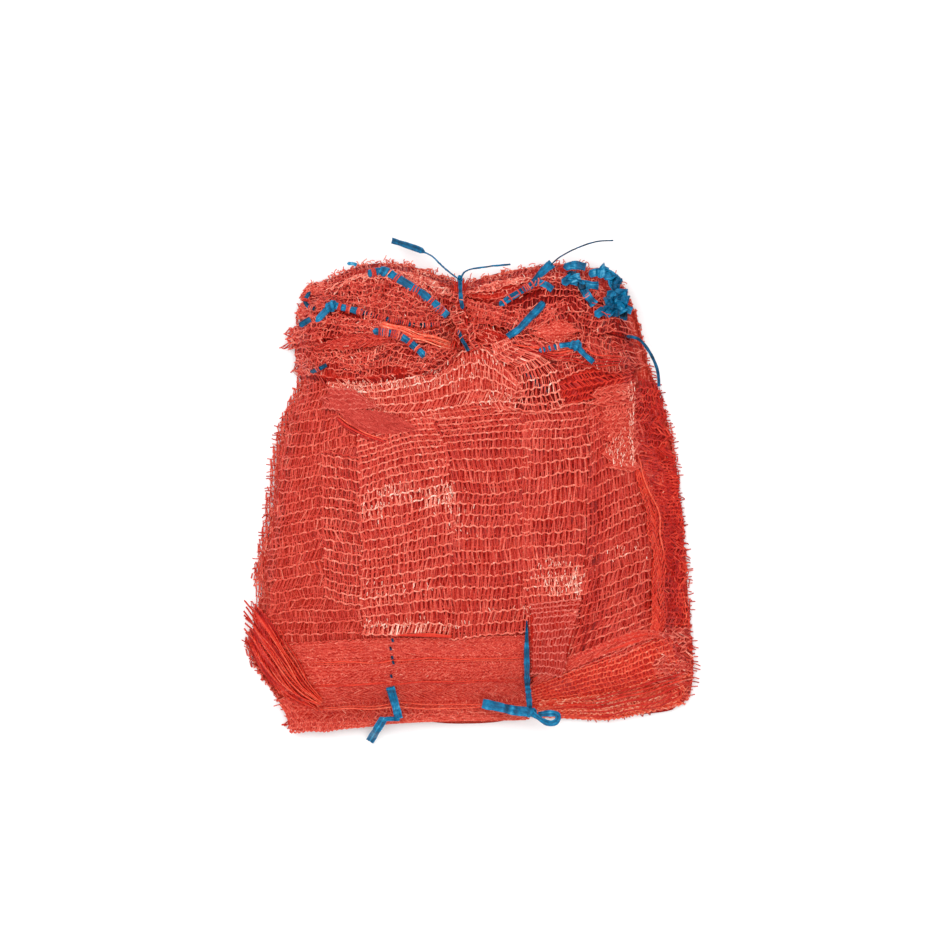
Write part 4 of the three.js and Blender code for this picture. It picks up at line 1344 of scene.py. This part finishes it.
ribbon("draw_tape_right_thread", [(59, 163), (66, 169, 9), (77, 175, 12), (91, 180, 11), (104, 181, 9)],
       0.5 * TAIL_WIDTH, tone=0.25)
ribbon("ear_edge_tail", [(-121, 119), (-117, 122), (-113, 124)], 3.8, tone=0.4)
ribbon("ear_top_bit", [(-87, 164), (-83, 164), (-80, 163)], 2.4, tone=0.75)
UNDER_OPEN_BAND = [[(37, 89), (43, 82)], [(44, 83), (49, 76)], [(51, 77), (55, 71)]]
for number, route in enumerate(UNDER_OPEN_BAND):
    ribbon(f"open_band_tape_{number + 1}", route, TIE_WIDTH, lift=-0.9, tone=0.12)
knot("ear_top_knot", -60, 158)
knot("ear_front_knot", -98, 133, turn=0.8)
knot("right_knot", 76, 105, turn=0.3)

# The right corner's tape ends: creased strips, and clumps of short bent bits (x, y, reach, count)
TAPE_ENDS = {
    "tape_end_top": ([[(68, 161), (76, 163), (84, 161.5)]], []),
    "tape_end_middle": (
        [[(67, 149), (72, 153), (76, 155.5)], [(71, 153), (82, 149), (93, 148)],
         [(80, 151), (84, 142), (90, 134)]],
        [(78, 152, 5, 3)],
    ),
    "tape_end_arch": (
        [[(86, 156), (93, 158), (101, 156.5), (108.5, 150)]], [(96, 157, 5, 3), (107, 151, 4, 3)],
    ),
    "tape_end_corner": (
        [[(99, 141), (106, 143), (114, 143)], [(90, 126), (99, 131), (108, 128)],
         [(104, 144), (103, 136), (105, 126)], [(104, 132), (111, 132), (117, 130)]],
        [(106, 135, 8, 12)],
    ),
}
BIT_WIDTH = 0.9 * TAPE_WIDTH
BIT_HALVES = (3.2, 4.6)  # half of a bit's length
BIT_TONES = (0.2, 0.7)


def tape_bit(name, x, y, reach, lift):
    """A short arched bit of tape, at random within reach of a place, bent a little at its middle."""
    middle = np.array([x, y]) + reach * draw.uniform(-1, 1, 2)
    turn = draw.uniform(0, np.pi)
    step = draw.uniform(*BIT_HALVES) * np.array([math.cos(turn), math.sin(turn)])
    route = [middle - step, middle + draw.normal(size=2), middle + step]
    ribbon(name, route, BIT_WIDTH, lift=lift, curl=1.8, arch=3.6, tone=draw.uniform(*BIT_TONES))


for name, (routes, clumps) in TAPE_ENDS.items():
    for number, route in enumerate(routes):
        ribbon(f"{name}_strip_{number + 1}", route, lift=1.5 + 0.5 * number,
               node_name=None if number else name, curl=1.4)
    for x, y, reach, count in clumps:
        for number in range(count):
            tape_bit(f"{name}_bit_{x}_{number + 1}", x, y, reach, lift=0.6 + 0.2 * number)

# Floor, light and camera. Places and sizes of the lamps and the floor are in metres.

FLOOR_REACH = 6.0
SKY_STRENGTH = 0.92
LAMPS = [("softbox", (0.1, 0.1, 2.4), 1.8, 24), ("key", (-1.2, 1.2, 1.8), 1.5, 18)]  # place, size, watts
FRAME_WIDTH = 680  # of the view at the object
AIM = (4.7, 12.6, 25)
LENS, SENSOR = 250, 36
CLIP_END = 50


def make_stage():
    """A pale floor with a softbox overhead, a key light at the upper left, and an even sky."""
    scene = bpy.context.scene
    floor_mesh = bpy.data.meshes.new("floor")
    square = [(-1, -1), (1, -1), (1, 1), (-1, 1)]
    floor_mesh.from_pydata([(x * FLOOR_REACH, y * FLOOR_REACH, 0) for x, y in square], [], [(0, 1, 2, 3)])
    floor = bpy.data.objects.new("floor", floor_mesh)
    paper = bpy.data.materials.new("white_paper")
    paper.use_nodes = True
    surface = paper.node_tree.nodes["Principled BSDF"]
    surface.inputs["Base Color"].default_value = linear("#f7f7f7")
    surface.inputs["Roughness"].default_value = 0.9
    floor_mesh.materials.append(paper)
    scene.collection.objects.link(floor)
    world = bpy.data.worlds.new("even_sky")
    world.use_nodes = True
    sky = world.node_tree.nodes["Background"]
    sky.inputs["Color"].default_value = (1, 1, 1, 1)
    sky.inputs["Strength"].default_value = SKY_STRENGTH
    scene.world = world
    for name, place, size, watts in LAMPS:
        light = bpy.data.lights.new(name, "AREA")
        light.size = size
        light.energy = watts
        lamp = bpy.data.objects.new(name, light)
        lamp.location = place
        lamp.rotation_euler = (-lamp.location).to_track_quat("-Z", "Y").to_euler()
        scene.collection.objects.link(lamp)
    scene.view_settings.view_transform = "Standard"


def make_camera():
    """Straight down over the bundle, with a long lens whose view is as wide as the frame."""
    data = bpy.data.cameras.new("camera")
    data.lens = LENS
    data.sensor_width = SENSOR
    data.clip_end = CLIP_END
    camera = bpy.data.objects.new("camera", data)
    away = FRAME_WIDTH * LENS / SENSOR
    camera.location = (AIM[0] * MM, AIM[1] * MM, (AIM[2] + away) * MM)
    bpy.context.scene.collection.objects.link(camera)
    bpy.context.scene.camera = camera


make_stage()
make_camera()
